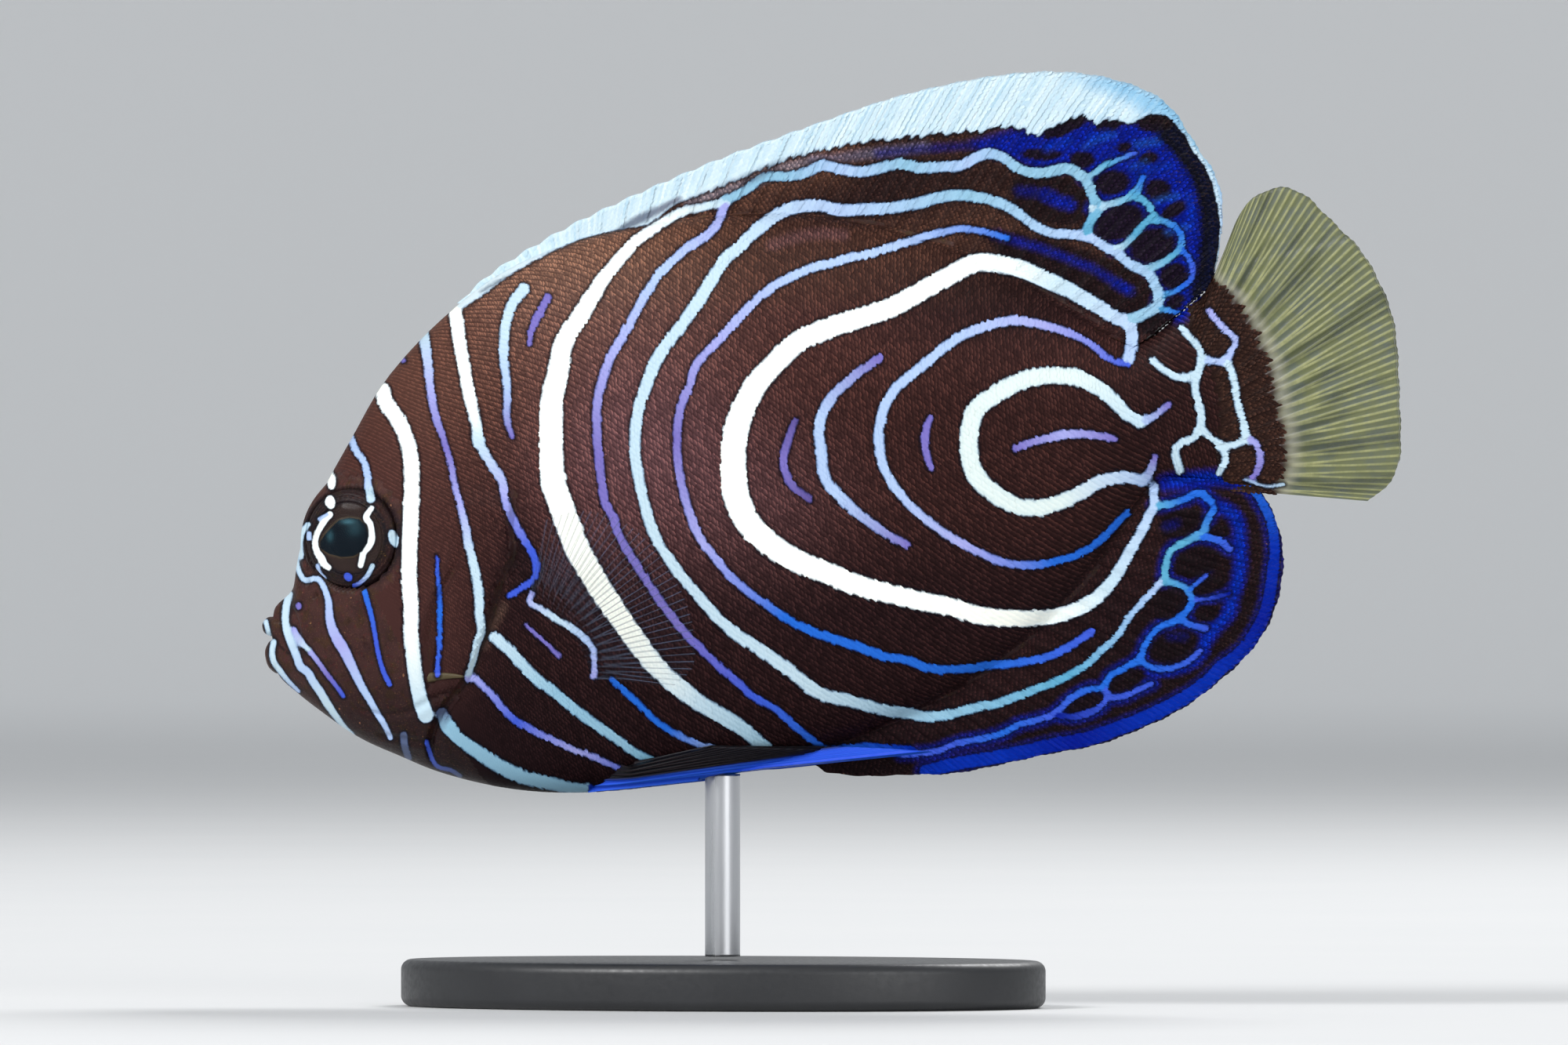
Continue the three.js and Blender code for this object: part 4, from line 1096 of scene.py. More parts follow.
def eye_points(radius, turn, height):
    """Points of the left eye from their distance and turn about its axis and their height along it."""
    return (EYE_MIDDLE + EYE_OUT * height[..., None] + EYE_FRONT * (radius * np.cos(turn))[..., None]
            + EYE_UP * (radius * np.sin(turn))[..., None])


def disc(radii, top, columns=180, thickness=0.5):
    """A closed disc about the left eye's axis, as high as top says at its radii and flat below."""
    rings = np.concatenate([radii, radii[::-1] * 0.995])
    heights = np.concatenate([top, np.full(len(radii), top[-1] - thickness)])
    turn = np.linspace(0, 2 * math.pi, columns, endpoint=False)
    radius, turns = np.meshgrid(rings, turn, indexing="ij")
    points = eye_points(radius, turns, np.repeat(heights[:, None], columns, axis=1))
    centres = eye_points(np.zeros(2), np.zeros(2), heights[[0, -1]])
    return Shell(np.concatenate([points.reshape(-1, 3), centres]), capped_faces(len(rings), columns))


def eye_ring():
    """The wrinkled skin that holds the eyeball."""
    columns = 240
    turn = np.linspace(0, 2 * math.pi, columns, endpoint=False)
    outer = np.linspace(IRIS_RADIUS - 0.06, SOCKET_RADIUS + 0.22, 34)
    top = dome(outer, EYE_BALL, EYE_HALF_THICKNESS) - COAT_DEPTH
    share = (outer - outer[0]) / (outer[-1] - outer[0])
    swell = np.sin(math.pi * share)
    inner_dip = 0.1 * (1 - smoothstep(0, 0.12, share))
    outer_dip = 0.3 * smoothstep(0.8, 1, share)
    top = top + 0.07 * swell - inner_dip - outer_dip
    radius, turns = np.meshgrid(outer, turn, indexing="ij")
    wave = 0.018 * np.sin(22 * radius + 2.2 * np.sin(3 * turns)) * swell[:, None]
    wave = wave + 0.012 * np.sin(46 * turns + 3 * np.sin(5 * radius)) * swell[:, None]
    upper = eye_points(radius, turns, top[:, None] + wave)
    inner = np.array([SOCKET_RADIUS + 0.23, SOCKET_RADIUS - 0.1, IRIS_RADIUS + 0.1, IRIS_RADIUS - 0.1])
    depth = np.array([dome(SOCKET_RADIUS, EYE_BALL, EYE_HALF_THICKNESS) - 0.55, 0.2, 0.5, 1.05])
    radius, turns = np.meshgrid(inner, turn, indexing="ij")
    lower = eye_points(radius, turns, np.repeat(depth[:, None], columns, axis=1))
    points = np.concatenate([upper, lower])
    rows = len(points)
    faces = grid_faces(rows + 1, columns, True) % (rows * columns)
    return Shell(points.reshape(-1, 3), faces)


def make_eyes():
    """The left eyeball with its iris and pupil, and the clear cornea over it."""
    radii = np.concatenate([np.linspace(0.03, 1.9, 40), np.linspace(1.95, IRIS_RADIUS, 28)])
    pupil = 0.2 * np.sqrt(np.clip(1 - (radii / 1.75) ** 2, 0, 1))
    iris = disc(radii, 1.36 + 0.06 * np.cos(radii * 0.9) + pupil)
    clear_radii = np.linspace(0.03, IRIS_RADIUS + 0.02, 40)
    rise = 1.30 + 0.72 * np.clip(1 - (clear_radii / (IRIS_RADIUS + 0.3)) ** 2, 0, 1) ** 0.6
    return iris.coloured(eye_markings), disc(clear_radii, rise)


class Fin:
    """A fin drawn from the side between its root and its edge, raised on each ray."""

    def __init__(self, root, edge, rays, spines, root_half, edge_half, sideways=None, thin=1.0, slim=0.0):
        self.thin, self.slim = thin, slim
        self.root, self.edge = Curve(root), Curve(edge)
        self.rays, self.spines = rays, spines
        self.root_half, self.edge_half = root_half, edge_half
        self.sideways = sideways

    def middle(self, q, s):
        """Side view places, q of the way along the fin and s of the way out, and the fin's height there."""
        start, end = self.root.at(q), self.edge.at(q)
        height = np.linalg.norm(end - start, axis=-1)
        place = q * (self.rays - 1)
        away = 2 * np.abs(place - np.round(place))
        overhang = np.where((place < self.spines - 0.5) & (self.spines > 3), 0.22, 0.12)
        teeth = 0.035 * (1 - np.cos(8 * math.pi * q * (self.rays - 1))) * (place > self.spines)
        short = np.minimum(0.3, (overhang * away**1.4 + teeth) / np.maximum(height, 1e-6))
        return start + (end - start) * (s * (1 - short))[..., None], height

    def ray(self, q, s):
        """1 on a ray's crest and 0 between rays. The soft rays split in two and again towards the edge."""
        place = q * (self.rays - 1)
        soft = place > self.spines - 0.5
        away = place - np.round(place)
        split = 0.25 * np.clip((s - 0.03) / 0.47, 0, 1) * soft
        again = 0.125 * np.clip((s - 0.25) / 0.55, 0, 1) * soft
        from_branch = np.abs(np.abs(away) - split)
        from_twig = np.abs(from_branch - again)
        width = self.thin * (0.15 - 0.1 * smoothstep(0.15, 0.8, s))
        return bell(from_twig, width)

    def half(self, q, s, height):
        """Half the fin's thickness, which rounds off at its edge."""
        spiny = q * (self.rays - 1) < self.spines - 0.5
        relief = np.where(spiny, 0.2, 0.12)
        half = self.root_half + (self.edge_half - self.root_half) * s**0.8
        half = half * (1 - self.slim * (1 - smoothstep(0, 0.16, q) * smoothstep(0, 0.16, 1 - q)))
        half = half + (relief * (1 - 0.6 * s)) * self.ray(q, s) - COAT_DEPTH * 0.5
        to_edge = np.clip(1 - height * (1 - s) / 0.35, 0, 1)
        return half * np.sqrt(np.clip(1 - 0.93 * to_edge**2, 0, 1))


class MedianFin(Fin):
    """A fin on the middle line, whose base swells smoothly out of the body."""

    def surface(self, q, s):
        middle, height = self.middle(q, s)
        half = self.half(q, s, height)
        trunk = body.half_width(middle[..., 0], middle[..., 1])
        whole = smooth_max(half, trunk - 0.22, 1.1)
        whole = np.where(trunk > 1.4, np.minimum(whole, trunk - 0.12), whole)
        return np.stack([middle[..., 0], -whole, middle[..., 1]], axis=-1), height

    def shell(self, columns, rows):
        q, s = np.meshgrid(np.linspace(0, 1, columns), np.linspace(0, 1, rows) ** 0.9, indexing="ij")
        left, _ = self.surface(q, s)
        return sheet(left, left * [1, -1, 1], ray=self.ray(q, s), out=s, place=q * (self.rays - 1),
                     streak=fin_streak(self, q, s))


def sheet(front, back, **values):
    """A closed shell from two faces of the same grid, stitched round the rim."""
    columns, rows = front.shape[:2]
    count = columns * rows
    faces = grid_faces(columns, rows)
    rim = np.concatenate([np.arange(columns - 1) * rows, (columns - 1) * rows + np.arange(rows - 1),
                          np.arange(columns - 1, 0, -1) * rows + rows - 1, np.arange(rows - 1, 0, -1)])
    after = np.roll(rim, -1)
    stitched = np.concatenate([np.stack([rim, after, after + count], -1),
                               np.stack([rim, after + count, rim + count], -1)])
    both = np.concatenate([faces, faces[:, ::-1] + count, stitched[:, ::-1]])
    doubled = {name: np.tile(value.ravel(), 2) for name, value in values.items()}
    return Shell(np.concatenate([front.reshape(-1, 3), back.reshape(-1, 3)]), both, **doubled)


def paired_fin(fin, columns, rows, wave=0.0):
    """A fin of the left side that stands away from the body."""
    q, s = np.meshgrid(np.linspace(0, 1, columns), np.linspace(0, 1, rows), indexing="ij")
    flat, height = fin.middle(q, s)
    y = -fin.sideways(flat[..., 0], flat[..., 1], s)
    y = y + wave * np.sin(q * 9 + 1.3) * s**1.5
    middle = np.stack([flat[..., 0], y, flat[..., 1]], axis=-1)
    normal = unit(np.cross(np.gradient(middle, axis=0), np.gradient(middle, axis=1)))
    offset = normal * fin.half(q, s, height)[..., None]
    place = q * (fin.rays - 1)
    return sheet(middle + offset, middle - offset, ray=fin.ray(q, s), out=s, place=place, share=q)


def median_root(line, span):
    """A root along the back or belly line, between two shares of the solids' body, slightly sunk in."""
    share = np.linspace(span[0], span[1], 11)
    scaled = share * (SOLID_SECTIONS - 1) / (len(SECTIONS) - 1)
    middle = body.sections(scaled)[0]
    return line(scaled) * 0.92 + middle * 0.08


def pectoral_side(x, z, s):
    trunk = body.half_width(x, z)
    return trunk - 0.9 + PECTORAL_SWING * s**0.8 + 1.2 * np.minimum(1, 6 * s)


def pelvic_side(x, z, s):
    trunk = body.half_width(x, z)
    resting = PELVIC_SPREAD[0] + (PELVIC_SPREAD[1] - PELVIC_SPREAD[0]) * np.maximum(0, 2 * s - 1)
    along = np.maximum(resting, trunk + 0.75)
    sunk = np.maximum(0, trunk - 0.8)
    return sunk + (along - sunk) * np.minimum(1, 6 * s)


dorsal_root = median_root(body.back_line, DORSAL_SPAN)
dorsal = MedianFin(dorsal_root, DORSAL_EDGE, DORSAL_RAYS, DORSAL_SPINES, 0.9, 0.27)
anal_root = median_root(body.belly_line, ANAL_SPAN)
anal = MedianFin(anal_root, ANAL_EDGE, ANAL_RAYS, ANAL_SPINES, 0.9, 0.27)
tail = MedianFin(TAIL_ROOT, TAIL_EDGE, TAIL_RAYS, 0, 1.1, 0.24, slim=0.65)
pectoral = Fin(PECTORAL_ROOT, PECTORAL_EDGE, PECTORAL_RAYS, 0, 0.5, 0.12, pectoral_side, 0.7)
pelvic = Fin(PELVIC_ROOT, PELVIC_EDGE, PELVIC_RAYS, 1, 0.42, 0.2, pelvic_side)


# One scale: a rim of points, a crown and an underside, with u to the rear, v across and w outwards
RIM_POINTS = 8
SCALE_POINTS = RIM_POINTS + 2
SCALE_TRIANGLES = 2 * RIM_POINTS
SCALE_TALL = 1.26
UNWRAP_SIZE = 0.0024
DRAWN_SPREAD = 0.75
DRAWN_SHIFT = 0.032
SCALE_RING = np.arange(RIM_POINTS)
SCALE_NEXT = (SCALE_RING + 1) % RIM_POINTS
SCALE_TURN = np.linspace(0, 2 * math.pi, RIM_POINTS, endpoint=False)
RING_U = 0.64 * np.cos(SCALE_TURN)
SCALE_U = np.concatenate([RING_U, [0.1, -0.15]])
SCALE_V = np.concatenate([0.54 * np.sin(SCALE_TURN), [0, 0]])
SCALE_W = np.concatenate([0.15 + 0.85 * smoothstep(-0.7, 0.3, RING_U), [1.05, -1.2]])
SCALE_RIM = np.concatenate([smoothstep(0.1, 0.62, RING_U), [0.25, 0.5]])
SCALE_FACES = np.concatenate([np.stack([SCALE_RING, SCALE_NEXT, np.full(RIM_POINTS, RIM_POINTS)], -1),
                              np.stack([SCALE_NEXT, SCALE_RING, np.full(RIM_POINTS, RIM_POINTS + 1)], -1)])


def coat(roots, rearward, outward, size, rise, unwrap, seed, field, long=1.0, **extra):
    """Solid scales at root points, turned to the rear, as one shell with its own unwrap."""
    random = np.random.default_rng(seed)
    count = len(roots)
    lean = random.normal(0, 0.14, count)
    across = unit(np.cross(outward, rearward))
    rearward = unit(np.cross(across, outward))
    back = rearward * np.cos(lean)[:, None] + across * np.sin(lean)[:, None]
    over = np.cross(outward, back)
    scale = (size * (1 + random.normal(0, 0.08, count)))[:, None, None]
    height = (rise * (1 + random.normal(0, 0.2, count)))[:, None, None]
    points = (roots[:, None] + back[:, None] * SCALE_U[:, None] * scale * long
              + over[:, None] * SCALE_V[:, None] * scale / long
              + outward[:, None] * SCALE_W[:, None] * height)
    faces = (np.arange(count)[:, None, None] * SCALE_POINTS + SCALE_FACES).reshape(-1, 3)
    grain = np.repeat(random.random(count), SCALE_POINTS)
    rim = np.tile(SCALE_RIM, count)
    bake = unwrap[:, None] + np.stack([SCALE_U, SCALE_V], -1) * UNWRAP_SIZE
    shell = Shell(points.reshape(-1, 3), faces, grain=grain, rim=rim, bake=bake.reshape(-1, 2))
    # Each scale takes its colour from near its root, a little off it, so that the borders break up
    shift = random.normal(0, DRAWN_SHIFT, (count, 1, 3))
    drawn = roots[:, None] + DRAWN_SPREAD * (points - roots[:, None]) + shift
    shell.values.update({name: np.repeat(value, SCALE_POINTS) for name, value in extra.items()})
    return shell.coloured(field, drawn.reshape(-1, 3))


def everywhere(points):
    return np.full(len(points), True)


def scaled(points):
    """Where the body has scales: not in the gill slit, round the eye, or on the snout."""
    _, ahead, share = gill_edge.measure(points[:, 0], points[:, 2])
    in_slit = (ahead > -0.5) & (ahead < 0.12) & (share > 0.02) & (share < 0.98)
    snout = points[:, 0] < 11.5 - 0.3 * points[:, 2]
    from_eye = np.hypot(points[:, 0] - EYE_CENTRE[0], points[:, 2] - EYE_CENTRE[1])
    return ~in_slit & ~snout & (from_eye > 5.4) & (points[:, 0] < 89.8)


def tail_base_end(py):
    """How far right the tail fin's scaled base reaches in the photo, at a pixel's height."""
    return np.interp(py, TAIL_BASE_EDGE[:, 1], TAIL_BASE_EDGE[:, 0])


def on_tail_base(points):
    px, py = photo_pixels(points)
    ragged = 4 * np.sin(py * 0.55) + 3 * np.sin(py * 0.21)
    return px < tail_base_end(py) - 2 + ragged


def split(shell, cut_x):
    """Two shells, of the scales ahead of a place and those behind it."""
    ahead = shell.points.reshape(-1, SCALE_POINTS, 3).mean(1)[:, 0] < cut_x
    halves = []
    for chosen in (ahead, ~ahead):
        each = np.repeat(chosen, SCALE_POINTS)
        number = np.cumsum(each) - 1
        faces = number[shell.faces[np.repeat(chosen, SCALE_TRIANGLES)]]
        values = {name: value[each] for name, value in shell.values.items()}
        halves.append(Shell(shell.points[each], faces, True, **values))
    return halves


def body_pitch(x):
    """How far apart scales lie: they are finest on the face."""
    return 0.29 + 0.14 * smoothstep(15, 36, x)


def body_rows(first, last):
    """Staggered places on the body's unwrap: shares of its length, angles, unwrap lengths and pitch."""
    middle = body.table[0]
    lengths = np.concatenate([[0], np.cumsum(np.linalg.norm(np.diff(middle, axis=0), axis=1))])
    shares = np.linspace(0, 1, Body.STEPS + 1)
    low, high = np.interp([first, last], middle[:, 0], lengths)
    angle = np.linspace(0.02, math.pi - 0.02, 240)
    found = []
    along, row = low, 0
    while along < high:
        t = float(np.interp(along, lengths, shares))
        pitch = float(body_pitch(np.interp(along, lengths, middle[:, 0])))
        line = body.point(np.full(len(angle), t), angle)
        arc = np.concatenate([[0], np.cumsum(np.linalg.norm(np.diff(line, axis=0), axis=1))])
        arc -= np.interp(math.pi / 2, angle, arc)
        tall = pitch * SCALE_TALL
        steps = np.arange(math.ceil(arc[0] / tall), arc[-1] / tall) + 0.5 * (row % 2)
        places = steps * tall
        places = places[places < arc[-1]]
        found.append(np.stack([np.full(len(places), t), np.interp(places, arc, angle),
                               np.full(len(places), along), places, np.full(len(places), pitch)], axis=1))
        along += pitch * 0.86 / SCALE_TALL
        row += 1
    return np.concatenate(found)


def body_coat(first, last, seed):
    """Scales over the left side of the body, from one place along it to another."""
    places = body_rows(first, last)
    random = np.random.default_rng(seed + 50)
    t = np.clip(places[:, 0] + random.normal(0, 0.00012, len(places)), 0, 1)
    angle = -places[:, 1]
    roots = skin_surface(t, angle)
    rearward = unit(skin_surface(np.minimum(t + 0.002, 1), angle) - roots)
    outward = unit(np.cross(rearward, skin_surface(t, angle + 0.01) - roots))
    bare_outward = bare_surface(t, angle)[1]
    outward *= np.sign((outward * bare_outward).sum(-1, keepdims=True))
    unwrap = np.stack([0.02 + places[:, 2] / 100, 0.5 + places[:, 3] / 74], axis=1)
    chosen = scaled(roots) & (np.abs((outward * bare_outward).sum(-1)) > 0.4)
    lean = math.radians(18)
    rearward = rearward * math.cos(lean) + np.cross(outward, rearward) * math.sin(lean)
    pitch = places[chosen, 4]
    x, z = roots[chosen, 0], roots[chosen, 2]
    growth = pitch * 1.16 * (1 - 0.15 * smoothstep(70, 88, x))
    near_snout = smoothstep(0.5, 5, x + 0.3 * z - 11.5)
    rise = (0.022 + 0.02 * smoothstep(0.3, 0.43, pitch)) * (0.3 + 0.7 * near_snout)
    face = np.maximum(0.6 * smoothstep(26, 14, x), 1 - near_snout)
    return coat(roots[chosen], rearward[chosen], outward[chosen], growth, rise, unwrap[chosen], seed,
                markings, 1 / SCALE_TALL, streak=np.zeros(len(pitch)), face=face)


def fin_streak(fin, q, s):
    """How strongly the rays and their branches streak a fin, from 0 to 1, growing towards its edge."""
    place = q * (fin.rays - 1)
    wave = 0.5 + 0.3 * np.cos(2 * math.pi * place) + 0.2 * np.cos(6 * math.pi * place + 1.0)
    fine = 0.5 + 0.5 * np.cos(10 * math.pi * place + 2 * np.sin(4 * place))
    return smoothstep(0.15, 0.9, s) * (0.55 * wave + 0.45 * fine)


def fin_coat(fin, pitch, seed, field, covered=everywhere):
    """Scales over the left face of a fin on the middle line, in rows along its rays."""
    random = np.random.default_rng(seed + 80)
    share = np.linspace(0, 1, 400)
    far = fin.root.at(share) * 0.45 + fin.edge.at(share) * 0.55
    length = np.linalg.norm(np.diff(far, axis=0), axis=1).sum()
    columns = int(length / (pitch * 0.72))
    found = []
    for column in range(columns):
        q = (column + 0.5) / columns
        tall = float(np.linalg.norm(fin.edge.at(np.array([q])) - fin.root.at(np.array([q]))))
        out = np.arange(0.3 + 0.6 * pitch * (column % 2), tall - 0.2, pitch * 1.2)
        found.append(np.stack([np.full(len(out), q), out / tall, out], axis=1))
    places = np.concatenate(found)
    q = np.clip(places[:, 0] + random.normal(0, 0.0004, len(places)), 0, 1)
    s = places[:, 1]
    roots, height = fin.surface(q, s)
    out, _ = fin.surface(q, np.minimum(s + 0.01, 1.0))
    side, _ = fin.surface(np.minimum(q + 0.002, 1.0), s)
    before, _ = fin.surface(np.maximum(q - 0.002, 0), s)
    rearward = unit(out - roots)
    rearward = unit(rearward + 0.55 * unit(side - before))
    outward = unit(np.cross(side - before, out - roots))
    outward *= np.sign(-outward[:, 1:2])
    trunk = body.half_width(roots[:, 0], roots[:, 2])
    to_edge = height * (1 - s)
    chosen = (-roots[:, 1] > trunk - 0.12) & (to_edge > 0.22) & covered(roots)
    growth = pitch * (1.2 - 0.3 * smoothstep(4.0, 0.4, to_edge))
    rise = 0.03 - 0.014 * smoothstep(4.0, 0.6, to_edge)
    unwrap = np.stack([0.02 + 0.96 * places[:, 0], 0.05 + places[:, 2] / 36], axis=1)
    streak = fin_streak(fin, q, s)
    return coat(roots[chosen], rearward[chosen], outward[chosen], growth[chosen], rise[chosen],
                unwrap[chosen], seed, field, 1.35, streak=streak[chosen])


class Nodes:
    """A node material, with short ways to add the nodes that the pieces share."""

    def __init__(self, name):
        self.material = bpy.data.materials.new(name)
        self.material.use_nodes = True
        self.tree = self.material.node_tree
        self.tree.nodes.clear()
        self.output = self.tree.nodes.new("ShaderNodeOutputMaterial")

    def add(self, kind, settings=None, **inputs):
        node = self.tree.nodes.new("ShaderNode" + kind)
        for key, value in (settings or {}).items():
            setattr(node, key, value)
        for key, value in inputs.items():
            self.put(node.inputs[key.replace("_", " ")], value)
        return node

    def put(self, socket, value):
        if isinstance(value, bpy.types.NodeSocket):
            self.tree.links.new(value, socket)
        elif isinstance(value, str):
            socket.default_value = (*linear(value), 1)
        else:
            socket.default_value = value

    def value(self, name):
        return self.add("Attribute", {"attribute_name": name}).outputs["Fac"]

    def colour(self, name):
        return self.add("Attribute", {"attribute_name": name}).outputs["Color"]

    def math(self, operation, a, b=0.0, clamp=False):
        node = self.add("Math", {"operation": operation, "use_clamp": clamp})
        self.put(node.inputs[0], a)
        self.put(node.inputs[1], b)
        return node.outputs[0]

    def times(self, a, b, clamp=False):
        return self.math("MULTIPLY", a, b, clamp)

    def ramp(self, value, low, high, start=0.0, end=1.0):
        node = self.add("MapRange", {"interpolation_type": "SMOOTHSTEP"}, Value=value)
        for key, number in zip(("From Min", "From Max", "To Min", "To Max"), (low, high, start, end)):
            node.inputs[key].default_value = number
        return node.outputs["Result"]

    def mix(self, factor, a, b, blend="MIX"):
        node = self.add("Mix", {"data_type": "RGBA", "blend_type": blend})
        self.put(node.inputs["Factor"], factor)
        self.put(node.inputs["A"], a)
        self.put(node.inputs["B"], b)
        return node.outputs["Result"]

    def tinted(self, colour, *tint):
        """A colour times a tint."""
        return self.mix(1.0, colour, (*tint, 1), "MULTIPLY")

    def noise(self, size, detail=3.0, roughness=0.55):
        """Noise whose patches are about size millimetres across."""
        place = self.add("TexCoord").outputs["Object"]
        node = self.add("TexNoise", Vector=place, Scale=1000.0 / size, Detail=detail, Roughness=roughness)
        return node.outputs["Fac"]

    def bump(self, height, size_mm, strength=1.0):
        return self.add("Bump", Height=height, Distance=size_mm * MM, Strength=strength).outputs["Normal"]

    def surface(self, shader):
        self.tree.links.new(shader, self.output.inputs["Surface"])
        return self.material

    def principled(self, **inputs):
        return self.add("BsdfPrincipled", **inputs).outputs["BSDF"]


def marked_colour(nodes, ground, ragged=1.6, soft=0.9, outline=0.8):
    """The ground colour with the markings over it, each with a ragged, bluish border and a dark outline."""
    wobble = nodes.times(nodes.math("SUBTRACT", nodes.noise(0.25, 2), 0.5), ragged * 2)
    edge = nodes.math("ADD", nodes.value("edge"), wobble)
    inside = nodes.ramp(edge, 0.6 + soft, 0.6 - soft)
    rim = nodes.ramp(edge, 5.5, 1.5, 0.0, outline)
    dark = nodes.mix(rim, ground, "ink")
    paint = nodes.colour("paint")
    whiteness = nodes.add("SeparateColor")
    nodes.put(whiteness.inputs[0], paint)
    pale = nodes.ramp(whiteness.outputs[0], 0.5, 0.85)
    cool = nodes.tinted(paint, 0.58, 0.68, 0.86)
    core = nodes.mix(nodes.times(pale, nodes.ramp(edge, -2.0, -5.5, 0.0, 0.5)), paint, "cream")
    paint = nodes.mix(nodes.ramp(edge, -1.6, 1.0, 0.0, 0.8), core, cool)
    return nodes.mix(inside, dark, paint), inside


def skin_material():
    nodes = Nodes("skin_paint")
    mottle = nodes.ramp(nodes.noise(1.6, 4), 0.35, 0.7)
    speckle = nodes.ramp(nodes.noise(0.14, 2), 0.55, 0.75)
    fleck = nodes.ramp(nodes.noise(0.5, 1), 0.74, 0.8)
    ground = nodes.mix(nodes.times(mottle, 0.5), nodes.colour("ground"), "sepia")
    ground = nodes.mix(nodes.times(speckle, 0.16), ground, "tan")
    ground = nodes.mix(nodes.times(fleck, 0.6), ground, "tan")
    moss = nodes.tinted(ground, 0.95, 1.12, 0.62)
    ground = nodes.mix(nodes.ramp(nodes.noise(0.9, 4), 0.48, 0.66, 0.0, 0.8), ground, moss)
    rust = nodes.tinted(ground, 1.35, 0.8, 0.9)
    ground = nodes.mix(nodes.ramp(nodes.noise(0.37, 3), 0.55, 0.72, 0.0, 0.8), ground, rust)
    shade = nodes.tinted(ground, 0.5, 0.46, 0.46)
    ground = nodes.mix(nodes.ramp(nodes.noise(0.6, 4, 0.7), 0.52, 0.75, 0.0, 0.9), ground, shade)
    ground = nodes.mix(nodes.value("flesh"), ground, "horn")
    ground = nodes.mix(nodes.times(nodes.value("streak"), 0.2), ground, "ink")
    colour, inside = marked_colour(nodes, ground, 1.0, 0.9)
    streaked = nodes.tinted(nodes.colour("paint"), 0.6, 0.76, 0.86)
    on_ray = nodes.times(nodes.value("streak"), nodes.times(inside, 0.8))
    colour = nodes.mix(on_ray, colour, streaked)
    grain = nodes.noise(0.22, 3)
    rough = nodes.ramp(grain, 0.2, 0.8, 0.4, 0.58)
    bump = nodes.bump(nodes.math("ADD", grain, nodes.times(nodes.noise(0.8, 2), 1.4)), 0.05, 0.6)
    return nodes.surface(nodes.principled(Base_Color=colour, Roughness=rough, Normal=bump, Coat_Weight=0.02,
                                          Coat_Roughness=0.2, Specular_IOR_Level=0.1))


def scale_material():
    nodes = Nodes("scale_paint")
    grain, rim, face = nodes.value("grain"), nodes.value("rim"), nodes.value("face")
    bare = nodes.colour("ground")
    # Each scale is duller at random by its grain. Painted shade darkens its root, where the scale ahead lies
    # over it, and a painted highlight lights its rear rim.
    dull_and_root_shade = nodes.tinted(bare, 0.4, 0.36, 0.38)
    bright = nodes.tinted(bare, 2.7, 2.4, 2.1)
    ground = nodes.mix(nodes.ramp(grain, 0.0, 1.0, 0.0, 0.5), bare, dull_and_root_shade)
    ground = nodes.mix(nodes.ramp(rim, 0.3, 0.0, 0.0, 0.8), ground, dull_and_root_shade)
    glint = nodes.times(nodes.ramp(rim, 0.3, 0.9), nodes.ramp(grain, 0.95, 0.1, 0.2, 0.9))
    ground = nodes.mix(glint, ground, bright)
    ground = nodes.mix(face, ground, bare)
    colour, inside = marked_colour(nodes, ground, 1.0, 1.3)
    shadow = nodes.tinted(colour, 0.84, 0.92, 0.97)
    amount = nodes.times(inside, nodes.ramp(rim, 0.4, 0.0, 0.0, 0.35))
    colour = nodes.mix(amount, colour, shadow)
    streaked = nodes.tinted(nodes.colour("paint"), 0.58, 0.74, 0.84)
    on_ray = nodes.times(nodes.value("streak"), nodes.times(inside, 0.9))
    colour = nodes.mix(on_ray, colour, streaked)
    rough = nodes.ramp(nodes.noise(0.3, 2), 0.25, 0.75, 0.42, 0.58)
    return nodes.surface(nodes.principled(Base_Color=colour, Roughness=rough, Specular_IOR_Level=0.04))


def branching(nodes, thin, twigs):
    """1 on a soft ray and 0 between rays. Each ray splits in two and again, in step with the raised mesh."""
    out = nodes.value("out")
    away = nodes.math("PINGPONG", nodes.value("place"), 0.5)
    branch = nodes.ramp(out, 0.03, 0.5, 0.0, 0.25)
    twig = nodes.ramp(out, 0.25, 0.8, 0.0, twigs)
    from_branch = nodes.math("ABSOLUTE", nodes.math("SUBTRACT", away, branch))
    from_twig = nodes.math("ABSOLUTE", nodes.math("SUBTRACT", from_branch, twig))
    width = nodes.ramp(out, 0.0, 0.8, 0.13 * thin, 0.05 * thin)
    return nodes.ramp(nodes.math("DIVIDE", from_twig, width), 1.25, 0.35)


